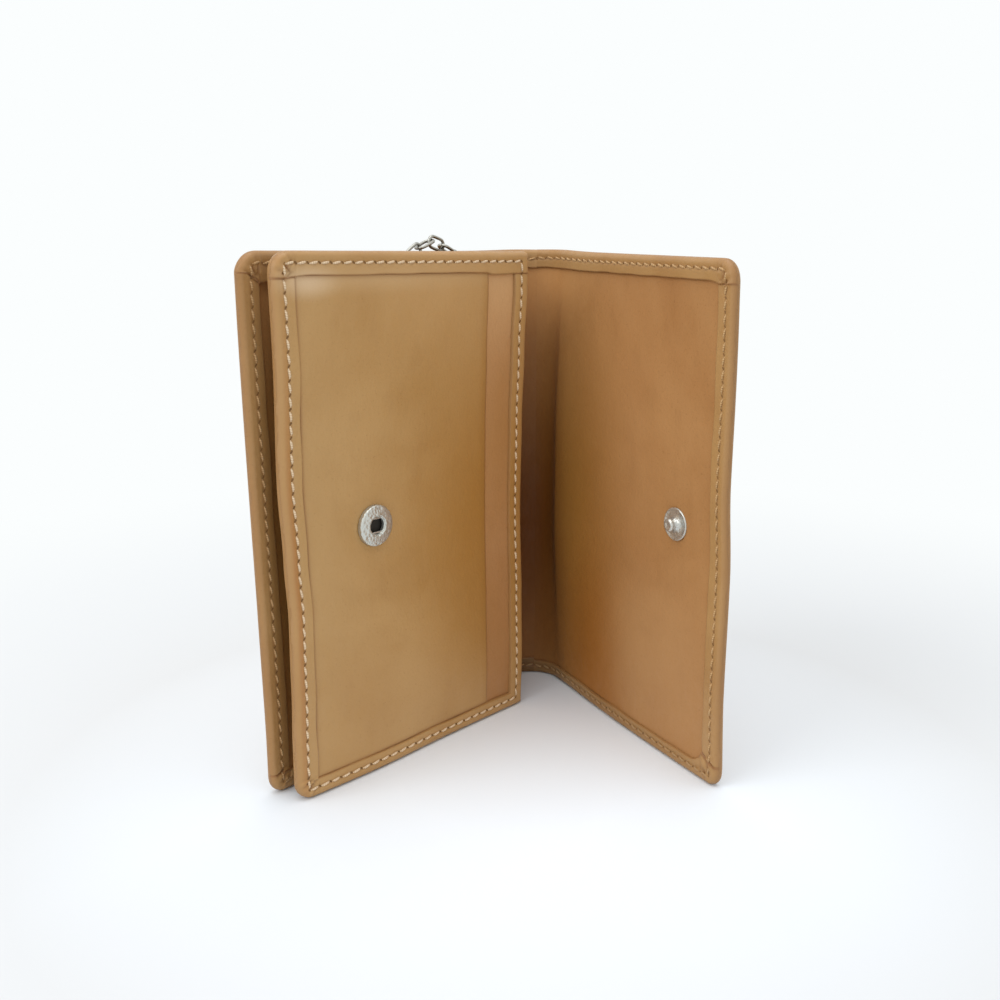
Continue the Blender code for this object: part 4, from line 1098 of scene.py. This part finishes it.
# Painted shade: the cup inside the socket is nearly black, standing for the shade deep in its hollow.
cup_painted_shade = nickel("cup_painted_shade", (0.03, 0.026, 0.02), 0.6, 0.4)
cup_profile = [(0.0, -0.75), (2.3, -0.75), (2.3, -0.42), (2.42, -0.42), (2.42, -0.87), (0.0, -0.87)]
cup = turned_part("snap_cup", cup_profile, socket_spot, front, cup_painted_shade, 48)
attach(cup, "leaf")


def smooth_copy(name, node, material, lift=0.0):
    """A finer copy of a small metal part: doubles merged, then rounded by subdivision."""
    bm = bmesh.new()
    bm.from_mesh(frame["nodes"][node].data)
    bmesh.ops.remove_doubles(bm, verts=bm.verts, dist=0.002 * MM)
    bmesh.ops.translate(bm, verts=bm.verts, vec=(0.0, 0.0, lift))
    piece = finished_piece(bm, name, [material])
    finer = piece.modifiers.new("finer", "SUBSURF")
    finer.levels = 1
    finer.render_levels = 1
    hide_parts(node)
    return piece


spring_steel = nickel("spring_steel", (0.62, 0.60, 0.56), 0.3)
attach(smooth_copy("snap_spring", "socket_spring", spring_steel, 0.5 * MM), "leaf")
rivet_profile = (
    [(0.0, -0.85), (1.6, -0.82), (2.9, -0.66)]
    + arc(3.85, -0.22, 0.35, 300, 400)
    + [(3.6, 0.1), (2.45, 0.1), (2.45, 2.0), (1.95, 2.0), (1.95, 0.2), (0.0, 0.2)]
)
rivet_spot = Vector((socket_spot.x, leaf_low.y + LEAF_THICK + 0.1 * MM, SNAP_HEIGHT))
rivet = turned_part("snap_rivet", rivet_profile, rivet_spot, front, bright_nickel)
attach(rivet, "leaf")
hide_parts("socket_rivet")

STUD_ALONG = 52.2 * MM
STUD_SHIFT = 1.1 * MM
stud_place = FLAP_LENGTH - (STUD_ALONG + STUD_SHIFT) / DRAWN_IN
stud_spot = on_flap(stud_place, 0.52 * MM, SNAP_HEIGHT)
stud_lean = Matrix.Rotation(math.radians(6.0), 3, "Z")
stud_profile = (
    [(0.0, -0.7), (3.1, -0.7), (3.16, 0.04)]
    + arc(3.46, 0.22, 0.28, 250, 460, 10)
    + [(3.1, 0.30), (2.5, 0.28), (1.95, 0.36), (1.45, 0.62), (1.15, 1.0), (1.02, 1.35)]
    + arc(0.95, 2.0, 0.55, 285, 450, 8)
    + [(0.7, 2.52), (0.5, 2.42), (0.0, 2.38)]
)
stud = turned_part(
    "snap_stud_turned", stud_profile, stud_spot, stud_lean @ -flap_outward, satin_nickel
)
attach(stud, "flap")
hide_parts("snap_stud")
cap_nickel = nickel("cap_nickel", (0.50, 0.49, 0.45), 0.27)
cap_profile = (
    [(0.0, 1.06), (0.9, 1.03), (1.8, 0.94), (2.6, 0.78), (3.2, 0.58), (3.45, 0.42), (3.6, 0.40)]
    + arc(4.05, 0.30, 0.36, 150, -40, 10)
    + [(4.1, -0.15), (0.0, -0.15)]
)
cap_spot = on_flap(stud_place, -COVER_THICK / 2 - 0.1 * MM, SNAP_HEIGHT)
cap = turned_part("snap_cap", cap_profile, cap_spot, flap_outward, cap_nickel, 72)
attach(cap, "flap")
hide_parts("stud_rivet")


# Chain: soft nickel links and rings that hang from a sewn leather tab in the key space. Only the
# arch above the leaf is seen from the front.

chain_nickel = nickel("chain_nickel", (0.44, 0.43, 0.39), 0.30)
for body in ("chain_rise", "chain_fall"):
    for node in frame["record"]["behaviour"]["bodies"][body]:
        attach(smooth_copy(node + "_wire", node, chain_nickel), body)
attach(smooth_copy("end_ring_wire", "end_ring", chain_nickel), "end_ring")
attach(smooth_copy("key_ring_wire", "key_ring", chain_nickel), "key_ring")

tab_leather = tanned_leather(
    "tab_leather", (0.44, 0.24, 0.09), (0.37, 0.19, 0.066), (0.25, 0.1, 0.03),
)
tab_mesh = bmesh.new()
tab_mesh.from_mesh(frame["nodes"]["chain_tab"].data)
bmesh.ops.remove_doubles(tab_mesh, verts=tab_mesh.verts, dist=0.002 * MM)
tab_hide = tab_mesh.verts.layers.float_vector.new("hide")
for vert in tab_mesh.verts:
    vert[tab_hide] = (vert.co.x, vert.co.z, 0.15)
tab = finished_piece(tab_mesh, "tab_strap", [tab_leather], crease=40)
tab_edges = tab.modifiers.new("softened", "BEVEL")
tab_edges.width = 0.18 * MM
tab_edges.segments = 3
tab_edges.angle_limit = math.radians(40)
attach(tab, "back")
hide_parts("chain_tab")
